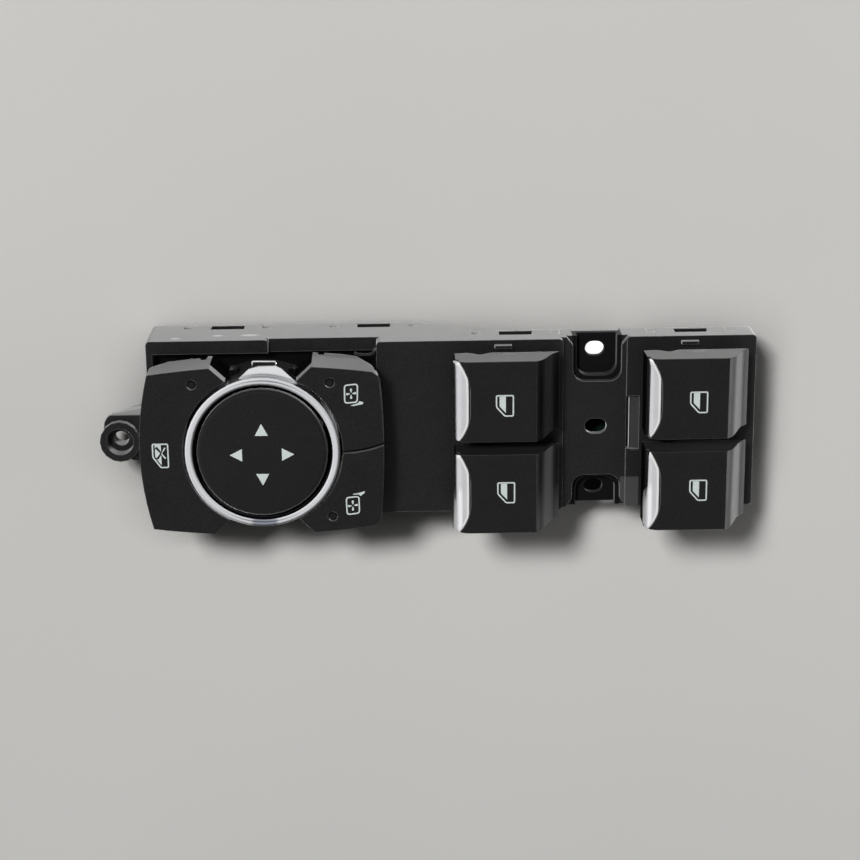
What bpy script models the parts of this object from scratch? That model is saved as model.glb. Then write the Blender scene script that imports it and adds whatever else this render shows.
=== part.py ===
"""Driver's door master switch: four window paddles, a mirror pad in a ring and three buttons, on one housing.

Lengths are millimetres, and the shape builders turn them into metres. +X runs along the panel towards
its tail, +Y towards the skirt with the latch windows, +Z up. The origin is at the bottom of the middle.
"""

import math

import bmesh
import bpy
from mathutils import Matrix, Vector

MM = 0.001

# Fits shared by every piece
CLEARANCE = 0.3
PIVOT_CLEARANCE = 0.2

# The housing along its length, from the mounting ear to the tail
EAR_REACH = 9.3
EAR_RADIUS = 5.9
WELL_LENGTH = 66.7
PLATE_LENGTH = 53.9
SADDLE_LENGTH = 18.6
TAIL_LENGTH = 37.5

# The housing across, and the button cluster that stands a little in front of it
HOUSING_DEPTH = 51.6
CLUSTER_OVERHANG = 1.55
CLUSTER_REAR_GAP = 3.85
OVERALL_DEPTH = HOUSING_DEPTH + CLUSTER_OVERHANG
CLUSTER_HALF_DEPTH = (OVERALL_DEPTH - CLUSTER_REAR_GAP) / 2

# Levels of the upper housing
SKIRT_DEEP_LEVEL = 4.5
SKIRT_HIGH_LEVEL = 16.5
RIM_LEVEL = 24.2
RIM_STEP = 1.7
PLATE_LEVEL = 28.5
SADDLE_LEVEL = 26.5
POCKET_LEVEL = 20.9
TAIL_LEVEL = 26.8
HOUSING_WALL = 1.8
PLATE_THICKNESS = 2.0
RIM_WIDTH = 3.9
RIM_STEP_LENGTH = 31.3
HOUSING_CORNER = 1.0
SKIRT_RAMP_START = WELL_LENGTH + 11.8
SKIRT_RAMP_LENGTH = 17.5

# Where the paddles stand along the housing
PADDLE_STATION = WELL_LENGTH + PLATE_LENGTH - 31.9
PADDLE_PITCH = 54.1

# Latch windows with a relief notch to each side
LATCH_STATIONS = (22.7, WELL_LENGTH - 0.8, PADDLE_STATION + 18.6, PADDLE_STATION + PADDLE_PITCH + 15.7)
LATCH_WINDOW_WIDTH = 9.8
LATCH_WINDOW_HEIGHT = 4.2
LATCH_WINDOW_RISE = 1.6
NOTCH_WIDTH = 2.6
NOTCH_HEIGHT = 5.2
NOTCH_SPACING = 23.2
LUG_LENGTH = 7.0
LUG_EDGE = 0.8
LUG_RECESS = 1.0
FINGER_LENGTH = 9.0
FINGER_BELOW = 2.5
FINGER_ABOVE = 0.8

# Mounting ear
EAR_OFFSET = -2.5
EAR_HALF_DEPTH = 6.1
EAR_SIDES = 16
EAR_BOSS_BOTTOM = 12.0
EAR_BOSS_LEVEL = 21.0
EAR_COUNTERBORE_RADIUS = 4.0
EAR_COUNTERBORE_DEPTH = 4.0
EAR_HOLE_RADIUS = 2.2
EAR_WEB_THICKNESS = 2.4
EAR_WEB_DROP = 2.0
EAR_WEB_REAR = 10.4
EAR_WEB_FRONT = 8.2
EAR_WEB_CORNER = 4.0
EAR_WEB_INSET = 1.2
EAR_WEB_OVERHANG = 2.2
EAR_FOOT_INSET = 1.0
EAR_GUSSET_DROP = 10.6
EAR_GUSSET_THICKNESS = 1.6
EAR_GUSSET_INSET = 0.4
EAR_GUSSET_LIP = 0.2
EAR_GUSSET_START = 2.0
EAR_KEEL_THICKNESS = 1.6
EAR_KEEL_DROP = 3.0

# Saddle between the paddle pairs
POCKET_FRONT_DEPTH = 9.9
POCKET_REAR_DEPTH = 13.3
POCKET_LEFT_WALL = 3.0
POCKET_RIGHT_WALL = 1.5
POCKET_CORNER = 3.6
POCKET_LEDGE = 1.2
POCKET_LEDGE_LEVEL = 24.4
POCKET_FLARE = 2.6
SCREW_HOLE_LENGTH = 5.6
SCREW_HOLE_WIDTH = 4.4
SCREW_HOLE_INSET = 4.8
SADDLE_HOLE_LENGTH = 6.4
SADDLE_HOLE_WIDTH = 4.6
SCREW_HOLE_X = 9.75
SADDLE_HOLE_OFFSET = -1.0
SADDLE_GROOVE_WIDTH = 1.0
SADDLE_GROOVE_LENGTH = 16.0
SADDLE_GROOVE_DEPTH = 2.6
SADDLE_GROOVE_RAMP = 2.8
SADDLE_GROOVE_RAMP_DROP = 0.9
CLIP_RIB = (4.9, 0.9, 1.7)
CLIP_RIB_INSET = 1.3
CLIP_RIB_OFFSET = -1.1

# Lower housing and board
LOWER_WALL = 1.6
TRAY_HIGH_LEVEL = 8.4
TRAY_DEEP_TOP = 14.0
TRAY_HIGH_TOP = 17.5
TRAY_NOTCH_WALL = 1.0
BOARD_LEVEL = 11.2
BOARD_THICKNESS = 1.6
BOARD_MARGIN = 0.5
BOARD_CORNER = 3.0
BOARD_HOLE_RADIUS = 1.6
SUPPORT_RADIUS = 2.4
SUPPORT_INSET = 5.5

# Connector
CONNECTOR_FROM_TAIL = 22.7
CONNECTOR_LENGTH = 24.0
CONNECTOR_DEPTH = 13.0
SHROUD_WALL = 1.5
SHROUD_SLOT_WIDTH = 3.0
SHROUD_SLOT_TOP = 5.4
PIN_COLUMNS = 7
PIN_ROWS = 2
PIN_PITCH = 3.0
PIN_SIZE = 0.7
PIN_END_LEVEL = 4.8
HEADER_THICKNESS = 2.0

# Button cluster
RING_STATION = 33.9
RING_RADIUS = CLUSTER_HALF_DEPTH - 2.5
RING_INNER_RADIUS = RING_RADIUS - 2.35
RING_LEVEL = 43.0
RING_SKIRT = 6.0
RING_WALL = 0.6
RING_CROWN = 0.9
COLLAR_DROP = 2.1
LOBE_LEFT = 3.2
LOBE_RIGHT = 6.0
LOBE_ROOT_LEFT = 8.0
LOBE_ROOT_RIGHT = 10.6
LOBE_REACH = 2.6
LOBE_DROP = 3.0
LOBE_THICKNESS = 0.9
LOBE_SHOULDER = 0.7
KEY_LEVEL = 41.0
KEY_WALL = 1.5
KEY_EDGE = 0.5
KEY_GAP = 0.7
KEY_TRAVEL = 1.5
KEY_NOTCH_X = 2.4
KEY_NOTCH_WIDTH = 1.8
KEY_NOTCH_HEIGHT = 2.2
KEY_TAB_WIDTH = 1.4
KEY_TAB_DROP = 3.2
KEY_TAB_SETBACK = 0.5
KEY_CORNER_REACH = 7.6
LENS_TUBE_WALL = 1.2
LENS_TUBE_LENGTH = 5.0
LOCK_KEY_BOTTOM = 28.2
MIRROR_KEY_BOTTOM = 30.4
MIRROR_SKIRT_BOTTOM = 24.3
MIRROR_SKIRT_DEPTH = 6.5
MIRROR_SKIRT_RISE = 8.5
MIRROR_SKIRT_STEP = 5.0
LOCK_SKIRT_RISE = 3.6
SKIRT_TOP_DROP = 1.6
SKIRT_SIDE_CUT = 0.8
SKIRT_CURVE = 0.45
SKIRT_CURVE_RISE = 0.1
CLUSTER_CURVE = 230.0
LOCK_KEY_SIDE = 35.0
LOCK_KEY_CORNER = 32.0
MIRROR_KEY_SIDE = 34.6
MIRROR_KEY_CURVE = 200.0
MIRROR_KEY_CORNER = (1.4, 2.95)
MIRROR_KEY_CORNER_START = 3.0
KEY_END_ANGLE = 64.0
KEY_END_OUT = RING_RADIUS * 0.65
KEY_STEM_X = 26.75
KEY_STEM_Y = CLUSTER_HALF_DEPTH * 0.548
PARTING_GAP = 0.6
PARTING_START = -0.8
PARTING_RISE = 2.3
INDICATOR_X = RING_RADIUS * 0.88
INDICATOR_Y = CLUSTER_HALF_DEPTH - 4.75
INDICATOR_RADIUS = 1.1
INDICATOR_LENGTH = 9.0
STEM_RADIUS = 2.0
STEM_END = 18.6
GUIDE_WALL = 1.5
GUIDE_HEIGHT = 7.6
COLLAR_WALL = 1.5
COLLAR_TAB_X = 8.4
COLLAR_TAB_REACH = 2.0
COLLAR_TAB_LEVEL = 30.0
COLLAR_TAB_HEIGHT = 4.4
CARRIER_LEVEL = 17.0
CARRIER_THICKNESS = 1.6
LEDGE_DEPTH = 2.2
LEDGE_THICKNESS = 2.0
LEDGE_OFFSET = 14.0
LEDGE_HALF_WIDTH = 4.0
POST_THICKNESS = 2.4
POST_HALF_WIDTH = 3.0
POST_ABOVE_PIVOT = 2.6

# Mirror pad and its gimbal
PAD_RADIUS = RING_INNER_RADIUS - 1.15
PAD_RIM_LEVEL = 42.9
PAD_CROWN = 1.5
PAD_WALL = 1.8
PAD_SKIRT = 2.6
PAD_EDGE = 1.4
PAD_EDGE_DROP = 0.9
PAD_DISH = 0.93
PAD_STEM_FOOT = 30.9
GIMBAL_LEVEL = 33.5
GIMBAL_INNER = 4.8
GIMBAL_OUTER = 6.8
GIMBAL_HEIGHT = 2.4
GIMBAL_PIN_RADIUS = 0.8
GIMBAL_PIN_LENGTH = 2.0
PAD_STEM_RADIUS = 3.4
PLUNGER_RADIUS = 1.6
PLUNGER_CIRCLE = PAD_RADIUS - 5.15
PLUNGER_END = 18.4
PLUNGER_SWING = 2.1

# Window paddles
PADDLE_ROW_PITCH = (HOUSING_DEPTH + 2.7) / 2
PADDLE_ROW_OFFSET = -1.32
PADDLE_LENGTH = 30.4
PADDLE_WIDTH = PADDLE_ROW_PITCH - 3.65
PADDLE_TOP = 46.5
PADDLE_BOTTOM = 34.0
PADDLE_WALL = 1.8
PADDLE_DRAFT = 0.5
PADDLE_EDGE = 0.8
SLOPE_LENGTH = 7.4
NOSE_RADIUS = 4.0
SCALLOP_START = 4.2
SCALLOP_LENGTH = 6.6
SCALLOP_RISE = 2.6
PIVOT_STATION = 15.6
PIVOT_LEVEL = 35.4
PIVOT_RADIUS = 1.6
PIVOT_PIN_LENGTH = 1.9
LUG_RADIUS = 3.6
TOWER_LENGTH = 14.0
TOWER_WIDTH = PADDLE_WIDTH - 6.7
TOWER_WALL = 1.8
TOWER_HEAD = 3.2
ARM_THICKNESS = 2.4
ARM_WIDTH = 5.0
ARM_LEVEL = 17.9
TRIM_THICKNESS = 0.7
TRIM_BED = 1.0
TRIM_INSET = 0.25
TRIM_LOW_ANGLE = 172.0
TRIM_HIGH_ANGLE = 88.0
TRIM_END = 0.9
TRIM_GROWTH = 3.2

# Slide switches on the board
SWITCH_LENGTH = 14.0
SWITCH_WIDTH = 9.0
SWITCH_HEIGHT = 3.0
SLIDER_LENGTH = 7.0
SLIDER_WIDTH = 5.4
SLIDER_SUNK = 1.4
SLIDER_TOP = 19.6
FORK_PRONG = 1.3
FORK_CLEARANCE = 0.45

# Tact switches on the board
TACT_SIZE = 6.0
TACT_HEIGHT = 2.4
TACT_BUTTON_RADIUS = 1.7
TACT_TOP = 16.7

# Stations worked out from the sizes above
OVERALL_LENGTH = EAR_RADIUS + EAR_REACH + WELL_LENGTH + PLATE_LENGTH + SADDLE_LENGTH + TAIL_LENGTH
LEFT = -OVERALL_LENGTH / 2 + EAR_RADIUS + EAR_REACH
PLATE_LEFT = LEFT + WELL_LENGTH
SADDLE_LEFT = PLATE_LEFT + PLATE_LENGTH
TAIL_LEFT = SADDLE_LEFT + SADDLE_LENGTH
RIGHT = TAIL_LEFT + TAIL_LENGTH
REAR = OVERALL_DEPTH / 2
FRONT = REAR - HOUSING_DEPTH
MIDDLE = (REAR + FRONT) / 2
RING_X = LEFT + RING_STATION
RING_Y = -OVERALL_DEPTH / 2 + CLUSTER_HALF_DEPTH
LOWER_LEFT = LEFT + HOUSING_WALL + CLEARANCE
LOWER_RIGHT = RIGHT - HOUSING_WALL - CLEARANCE
LOWER_REAR = REAR - HOUSING_WALL - CLEARANCE
LOWER_FRONT = FRONT + HOUSING_WALL + CLEARANCE
BOARD_TOP = BOARD_LEVEL + BOARD_THICKNESS
ON_BOARD = BOARD_TOP + CLEARANCE
CONNECTOR_X = RIGHT - CONNECTOR_FROM_TAIL
KEY_INNER_RADIUS = RING_RADIUS + KEY_GAP
COLLAR_RADIUS = RING_RADIUS - RING_WALL - CLEARANCE
COLLAR_INNER = COLLAR_RADIUS - COLLAR_WALL
COLLAR_TOP = RING_LEVEL - COLLAR_DROP
PADDLE_ROW_CENTRE = MIDDLE + PADDLE_ROW_OFFSET
PADDLES = {
    "front_right": (LEFT + PADDLE_STATION, PADDLE_ROW_CENTRE + PADDLE_ROW_PITCH / 2, PLATE_LEVEL),
    "front_left": (LEFT + PADDLE_STATION, PADDLE_ROW_CENTRE - PADDLE_ROW_PITCH / 2, PLATE_LEVEL),
    "rear_right": (LEFT + PADDLE_STATION + PADDLE_PITCH, PADDLE_ROW_CENTRE + PADDLE_ROW_PITCH / 2, TAIL_LEVEL),
    "rear_left": (LEFT + PADDLE_STATION + PADDLE_PITCH, PADDLE_ROW_CENTRE - PADDLE_ROW_PITCH / 2, TAIL_LEVEL),
}
KEY_STEMS = {
    "window_lock": (RING_X - KEY_STEM_X, RING_Y),
    "right_mirror": (RING_X + KEY_STEM_X, RING_Y + KEY_STEM_Y),
    "left_mirror": (RING_X + KEY_STEM_X, RING_Y - KEY_STEM_Y),
}
PAD_DIRECTIONS = {"right": (1, 0), "up": (0, 1), "left": (-1, 0), "down": (0, -1)}


# Scene, collections and materials

for old in list(bpy.data.objects):
    bpy.data.objects.remove(old, do_unlink=True)

PANEL = bpy.data.collections.new("window_switch")
CUTTERS = bpy.data.collections.new("cutters")
for group in (PANEL, CUTTERS):
    bpy.context.scene.collection.children.link(group)
CUTTERS.hide_render = True


def material(name, colour, roughness, metallic=0.0):
    made = bpy.data.materials.new(name)
    made.use_nodes = True
    shader = made.node_tree.nodes["Principled BSDF"]
    shader.inputs["Base Color"].default_value = (*colour, 1.0)
    shader.inputs["Roughness"].default_value = roughness
    shader.inputs["Metallic"].default_value = metallic
    made.diffuse_color = (*colour, 1.0)
    return made


BLACK_HOUSING = material("black_housing_plastic", (0.018, 0.018, 0.02), 0.45)
BLACK_SOFT = material("black_soft_touch_plastic", (0.012, 0.012, 0.013), 0.5)
SATIN_CHROME = material("satin_chrome", (0.72, 0.73, 0.75), 0.25, 1.0)
SMOKE_LENS = material("smoke_lens_plastic", (0.03, 0.03, 0.035), 0.2)
BOARD_GREEN = material("board_laminate", (0.008, 0.03, 0.014), 0.5)
WHITE_NYLON = material("white_nylon", (0.75, 0.75, 0.72), 0.5)
SWITCH_GREY = material("switch_grey_plastic", (0.25, 0.25, 0.26), 0.5)


# Shape builders

def link(name, mesh, group=CUTTERS):
    """Puts a mesh in the scene, as a hidden helper unless a group is given."""
    shape = bpy.data.objects.new(name, mesh)
    group.objects.link(shape)
    if group is CUTTERS:
        shape.hide_render = True
        shape.display_type = "WIRE"
    return shape


def box(x, y, z):
    """A box between two values along each axis."""
    shell = bmesh.new()
    bmesh.ops.create_cube(shell, size=1.0)
    low = Vector((x[0], y[0], z[0]))
    high = Vector((x[1], y[1], z[1]))
    bmesh.ops.scale(shell, verts=shell.verts, vec=(high - low) * MM)
    bmesh.ops.translate(shell, verts=shell.verts, vec=(low + high) / 2 * MM)
    mesh = bpy.data.meshes.new("box")
    shell.to_mesh(mesh)
    shell.free()
    return link("box", mesh)


def rod(centre, radius, along, axis="Z", sides=32):
    """A cylinder about centre, the two values off its axis, between two values along the axis."""
    shell = bmesh.new()
    bmesh.ops.create_cone(
        shell, cap_ends=True, segments=sides,
        radius1=radius * MM, radius2=radius * MM, depth=(along[1] - along[0]) * MM,
    )
    turns = {"Z": Matrix(), "X": Matrix.Rotation(math.pi / 2, 4, "Y"), "Y": Matrix.Rotation(-math.pi / 2, 4, "X")}
    middle = (along[0] + along[1]) / 2
    places = {
        "Z": (centre[0], centre[1], middle),
        "X": (middle, centre[0], centre[1]),
        "Y": (centre[0], middle, centre[1]),
    }
    bmesh.ops.transform(shell, verts=shell.verts, matrix=turns[axis])
    bmesh.ops.translate(shell, verts=shell.verts, vec=Vector(places[axis]) * MM)
    mesh = bpy.data.meshes.new("rod")
    shell.to_mesh(mesh)
    shell.free()
    return link("rod", mesh)


def flat_outline(points, thickness):
    """A filled outline in its own plane, made a mesh with its caps welded."""
    curve = bpy.data.curves.new("outline", "CURVE")
    curve.dimensions = "2D"
    curve.fill_mode = "BOTH"
    curve.extrude = thickness / 2 * MM
    points = [p for p, before in zip(points, points[-1:] + points[:-1]) if math.dist(p, before) > 0.001]
    spline = curve.splines.new("POLY")
    spline.points.add(len(points) - 1)
    for point, (u, v) in zip(spline.points, points):
        point.co = (u * MM, v * MM, 0.0, 1.0)
    spline.use_cyclic_u = True
    source = bpy.data.objects.new("outline", curve)
    bpy.context.scene.collection.objects.link(source)
    bpy.context.view_layer.update()
    graph = bpy.context.evaluated_depsgraph_get()
    mesh = bpy.data.meshes.new_from_object(source.evaluated_get(graph))
    bpy.data.objects.remove(source, do_unlink=True)
    shell = bmesh.new()
    shell.from_mesh(mesh)
    bmesh.ops.remove_doubles(shell, verts=shell.verts, dist=0.00001)
    bmesh.ops.recalc_face_normals(shell, faces=shell.faces)
    shell.to_mesh(mesh)
    shell.free()
    return mesh


def plan(points, z):
    """An outline seen from above, raised between two levels."""
    mesh = flat_outline(points, z[1] - z[0])
    mesh.transform(Matrix.Translation((0, 0, (z[0] + z[1]) / 2 * MM)))
    return link("plan", mesh)


def side(points, y):
    """An outline of (x, z) points seen from the front, drawn out between two values of y."""
    mesh = flat_outline(points, y[1] - y[0])
    mesh.transform(Matrix.Rotation(math.pi / 2, 4, "X"))
    mesh.transform(Matrix.Translation((0, (y[0] + y[1]) / 2 * MM, 0)))
    return link("side", mesh)


def turned(profile, centre, steps=48, base=0.0):
    """A closed ring or an axis-to-axis profile of (radius, z), run down its outer side, turned about Z."""
    closed = profile[0][0] > 0
    mesh = bpy.data.meshes.new("turned")
    points = [(r * MM, 0.0, (z - base) * MM) for r, z in profile]
    edges = [(i, i + 1) for i in range(len(points) - 1)]
    if closed:
        edges.append((len(points) - 1, 0))
    mesh.from_pydata(points, edges, [])
    shape = link("turned", mesh)
    screw = shape.modifiers.new("turn", "SCREW")
    screw.steps = steps
    screw.render_steps = steps
    screw.use_merge_vertices = True
    screw.merge_threshold = 0.00001
    bpy.context.view_layer.update()
    graph = bpy.context.evaluated_depsgraph_get()
    solid = bpy.data.meshes.new_from_object(shape.evaluated_get(graph))
    bpy.data.objects.remove(shape, do_unlink=True)
    solid.transform(Matrix.Translation(Vector((centre[0], centre[1], base)) * MM))
    shell = bmesh.new()
    shell.from_mesh(solid)
    bmesh.ops.recalc_face_normals(shell, faces=shell.faces)
    shell.to_mesh(solid)
    shell.free()
    return link("turned", solid)


def soften(shape, width, pick, segments=2):
    """Rounds the sharp edges for which pick says yes, given their two ends in millimetres."""
    shell = bmesh.new()
    shell.from_mesh(shape.data)
    sharp = [
        edge for edge in shell.edges
        if len(edge.link_faces) == 2
        and edge.calc_face_angle() > math.radians(35)
        and pick(edge.verts[0].co / MM, edge.verts[1].co / MM)
    ]
    bmesh.ops.bevel(
        shell, geom=sharp, offset=width * MM, segments=segments,
        profile=0.5, affect="EDGES", clamp_overlap=True,
    )
    bmesh.ops.remove_doubles(shell, verts=shell.verts, dist=0.00001)
    shell.to_mesh(shape.data)
    shell.free()


def boolean(body, operation, *tools):
    for tool in tools:
        step = body.modifiers.new(operation.lower(), "BOOLEAN")
        step.operation = operation
        step.object = tool
        step.solver = "EXACT"
    return body


def cut(body, *tools):
    return boolean(body, "DIFFERENCE", *tools)


def join(body, *tools):
    return boolean(body, "UNION", *tools)


def settled(body):
    """The shape with its modifiers applied, ready to be a tool for another."""
    bpy.context.view_layer.update()
    graph = bpy.context.evaluated_depsgraph_get()
    mesh = bpy.data.meshes.new_from_object(body.evaluated_get(graph))
    body.modifiers.clear()
    body.data = mesh
    return body


def inset(points, distance, closed=True):
    """The line moved to its left by a distance, or a closed outline moved inwards, with mitred corners."""
    count = len(points)
    if closed and sum(a[0] * b[1] - b[0] * a[1] for a, b in zip(points, points[1:] + points[:1])) < 0:
        points = points[::-1]
    moved = []
    for i, point in enumerate(points):
        here = Vector(point)
        before = Vector(points[i - 1]) if closed or i else here
        after = Vector(points[(i + 1) % count]) if closed or i < count - 1 else here
        normals = [
            Vector((-step.y, step.x)).normalized() for step in (here - before, after - here) if step.length > 0
        ]
        total = sum(normals, Vector((0.0, 0.0)))
        moved.append(tuple(here + total * distance * len(normals) / total.length_squared))
    return moved


def finish(name, shape, finish_material, pivot=None):
    """Names a shape as a piece of the panel, with its origin on its pivot, and shades it smooth."""
    settled(shape)
    CUTTERS.objects.unlink(shape)
    PANEL.objects.link(shape)
    shape.name = name
    shape.data.name = name
    shape.hide_render = False
    shape.display_type = "TEXTURED"
    shape.data.materials.clear()
    shape.data.materials.append(finish_material)
    shape.data.shade_smooth()
    shape.data.set_sharp_from_angle(angle=math.radians(35))
    if pivot:
        place = Vector(pivot) * MM
        shape.data.transform(Matrix.Translation(-place))
        shape.location = place
    return shape


def arc(centre, radius, start, end, count):
    """Points on a circle from one angle to another, in degrees, both ends included."""
    angles = [math.radians(start + (end - start) * i / count) for i in range(count + 1)]
    return [(centre[0] + radius * math.cos(a), centre[1] + radius * math.sin(a)) for a in angles]


def obround(centre, length, width, count=8):
    """A slot outline with its long way along X."""
    reach = (length - width) / 2
    right = arc((centre[0] + reach, centre[1]), width / 2, -90, 90, count)
    left = arc((centre[0] - reach, centre[1]), width / 2, 90, 270, count)
    return right + left


# Upper housing: one moulding, open below

def skirt_level(x):
    """The lower edge of the skirt, deep under the well and high past the ramp."""
    share = (x - LEFT - SKIRT_RAMP_START) / SKIRT_RAMP_LENGTH
    share = min(max(share, 0.0), 1.0)
    return SKIRT_DEEP_LEVEL + share * (SKIRT_HIGH_LEVEL - SKIRT_DEEP_LEVEL)


def ear():
    """The mounting ear: a rounded boss on a web with one round corner, and a gusset along its rear edge."""
    x = LEFT - EAR_REACH
    y = RING_Y + EAR_OFFSET
    root = LEFT + HOUSING_WALL / 2
    web_top = EAR_BOSS_LEVEL - EAR_WEB_DROP
    web_under = web_top - EAR_WEB_THICKNESS
    end = x - EAR_RADIUS + EAR_WEB_INSET
    rear = y + EAR_HALF_DEPTH + EAR_WEB_OVERHANG
    corner = arc((end + EAR_WEB_CORNER, rear - EAR_WEB_CORNER), EAR_WEB_CORNER, 90, 180, 5)
    foot = arc((x, y), EAR_HALF_DEPTH - EAR_FOOT_INSET, 200, 270, 5)
    web = plan([(root, y + EAR_WEB_REAR), *corner, *foot, (root, y - EAR_WEB_FRONT)], (web_under, web_top))
    boss = plan(
        [(x + EAR_RADIUS * math.cos(a), y + EAR_HALF_DEPTH * math.sin(a))
         for a in (2 * math.pi * i / EAR_SIDES for i in range(EAR_SIDES))],
        (EAR_BOSS_BOTTOM, EAR_BOSS_LEVEL),
    )
    slant = math.atan2(y + EAR_WEB_REAR - rear, root - end - EAR_WEB_CORNER)
    reach = (root - end - EAR_WEB_CORNER) / math.cos(slant)
    rib_top = web_top - EAR_GUSSET_INSET
    rib = side(
        [(0.0, rib_top), (0.0, web_under - EAR_GUSSET_LIP), (EAR_WEB_CORNER, web_under - EAR_GUSSET_START),
         (reach, web_top - EAR_GUSSET_DROP), (reach, rib_top)],
        (-EAR_GUSSET_THICKNESS, -0.1),
    )
    rib.data.transform(Matrix.Rotation(slant, 4, "Z"))
    rib.data.transform(Matrix.Translation(Vector((end + EAR_WEB_CORNER, rear, 0.0)) * MM))
    keel = box(
        (x, root), (y - EAR_KEEL_THICKNESS / 2, y + EAR_KEEL_THICKNESS / 2),
        (EAR_BOSS_BOTTOM, EAR_BOSS_LEVEL - EAR_KEEL_DROP),
    )
    bore = rod((x, y), EAR_COUNTERBORE_RADIUS, (EAR_BOSS_LEVEL - EAR_COUNTERBORE_DEPTH, EAR_BOSS_LEVEL + 1))
    hole = rod((x, y), EAR_HOLE_RADIUS, (EAR_BOSS_BOTTOM - 1, EAR_BOSS_LEVEL))
    return (web, boss, rib, keel), (bore, hole)


def latch_windows():
    """Each latch window and the two notches that free the tongue around it, through both long walls."""
    tools = []
    for station in LATCH_STATIONS:
        x = LEFT + station
        for y in ((REAR - HOUSING_WALL - 1, REAR + 1), (FRONT - 1, FRONT + HOUSING_WALL + 1)):
            low = skirt_level(x) + LATCH_WINDOW_RISE
            half = LATCH_WINDOW_WIDTH / 2
            tools.append(box((x - half, x + half), y, (low, low + LATCH_WINDOW_HEIGHT)))
            for turn in (-1, 1):
                middle = x + turn * NOTCH_SPACING / 2
                edge = skirt_level(middle)
                half_notch = NOTCH_WIDTH / 2
                across = (middle - half_notch, middle + half_notch)
                tools.append(box(across, y, (edge - 9, edge + NOTCH_HEIGHT)))
    return tools


def paddle_tower(x, y, level):
    """The hollow tower that carries one paddle on two stub pins."""
    pivot = x + PIVOT_STATION
    half = TOWER_LENGTH / 2
    wide = TOWER_WIDTH / 2
    top = PIVOT_LEVEL + TOWER_HEAD
    tower = box((pivot - half, pivot + half), (y - wide, y + wide), (level - PLATE_THICKNESS / 2, top))
    soften(tower, 1.2, lambda a, b: min(a.z, b.z) > top - 0.1 and abs(a.y - b.y) > 1)
    pin = rod(
        (pivot, PIVOT_LEVEL), PIVOT_RADIUS,
        (y - wide - PIVOT_PIN_LENGTH, y + wide + PIVOT_PIN_LENGTH), axis="Y", sides=24,
    )
    slot = box(
        (pivot - half + TOWER_WALL, pivot + half - TOWER_WALL),
        (y - ARM_WIDTH / 2 - CLEARANCE * 2, y + ARM_WIDTH / 2 + CLEARANCE * 2),
        (level - PLATE_THICKNESS - 1, top + 1),
    )
    return tower, pin, slot


def pocket_outline(edge, depth, turn, inset_by):
    """A screw pocket from above: a U with round inner corners, which flares where it leaves the housing."""
    left = SADDLE_LEFT + POCKET_LEFT_WALL + inset_by
    right = TAIL_LEFT - POCKET_RIGHT_WALL - inset_by
    bed = edge - turn * (depth - inset_by)
    corner = POCKET_CORNER
    mouth = edge + turn
    start, end = (-90, 0) if turn > 0 else (90, 0)
    far = arc((right - corner, bed + turn * corner), corner, start, end, 6)
    near = arc((left + corner, bed + turn * corner), corner, 180, 180 - start, 6) if turn < 0 else arc(
        (left + corner, bed + turn * corner), corner, 180, 270, 6)
    flare = POCKET_FLARE if inset_by == 0.0 else 0.0
    reach = edge - turn * flare
    return near + far + [(right, reach), (right + flare, mouth), (left - flare, mouth), (left, reach)]


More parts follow.
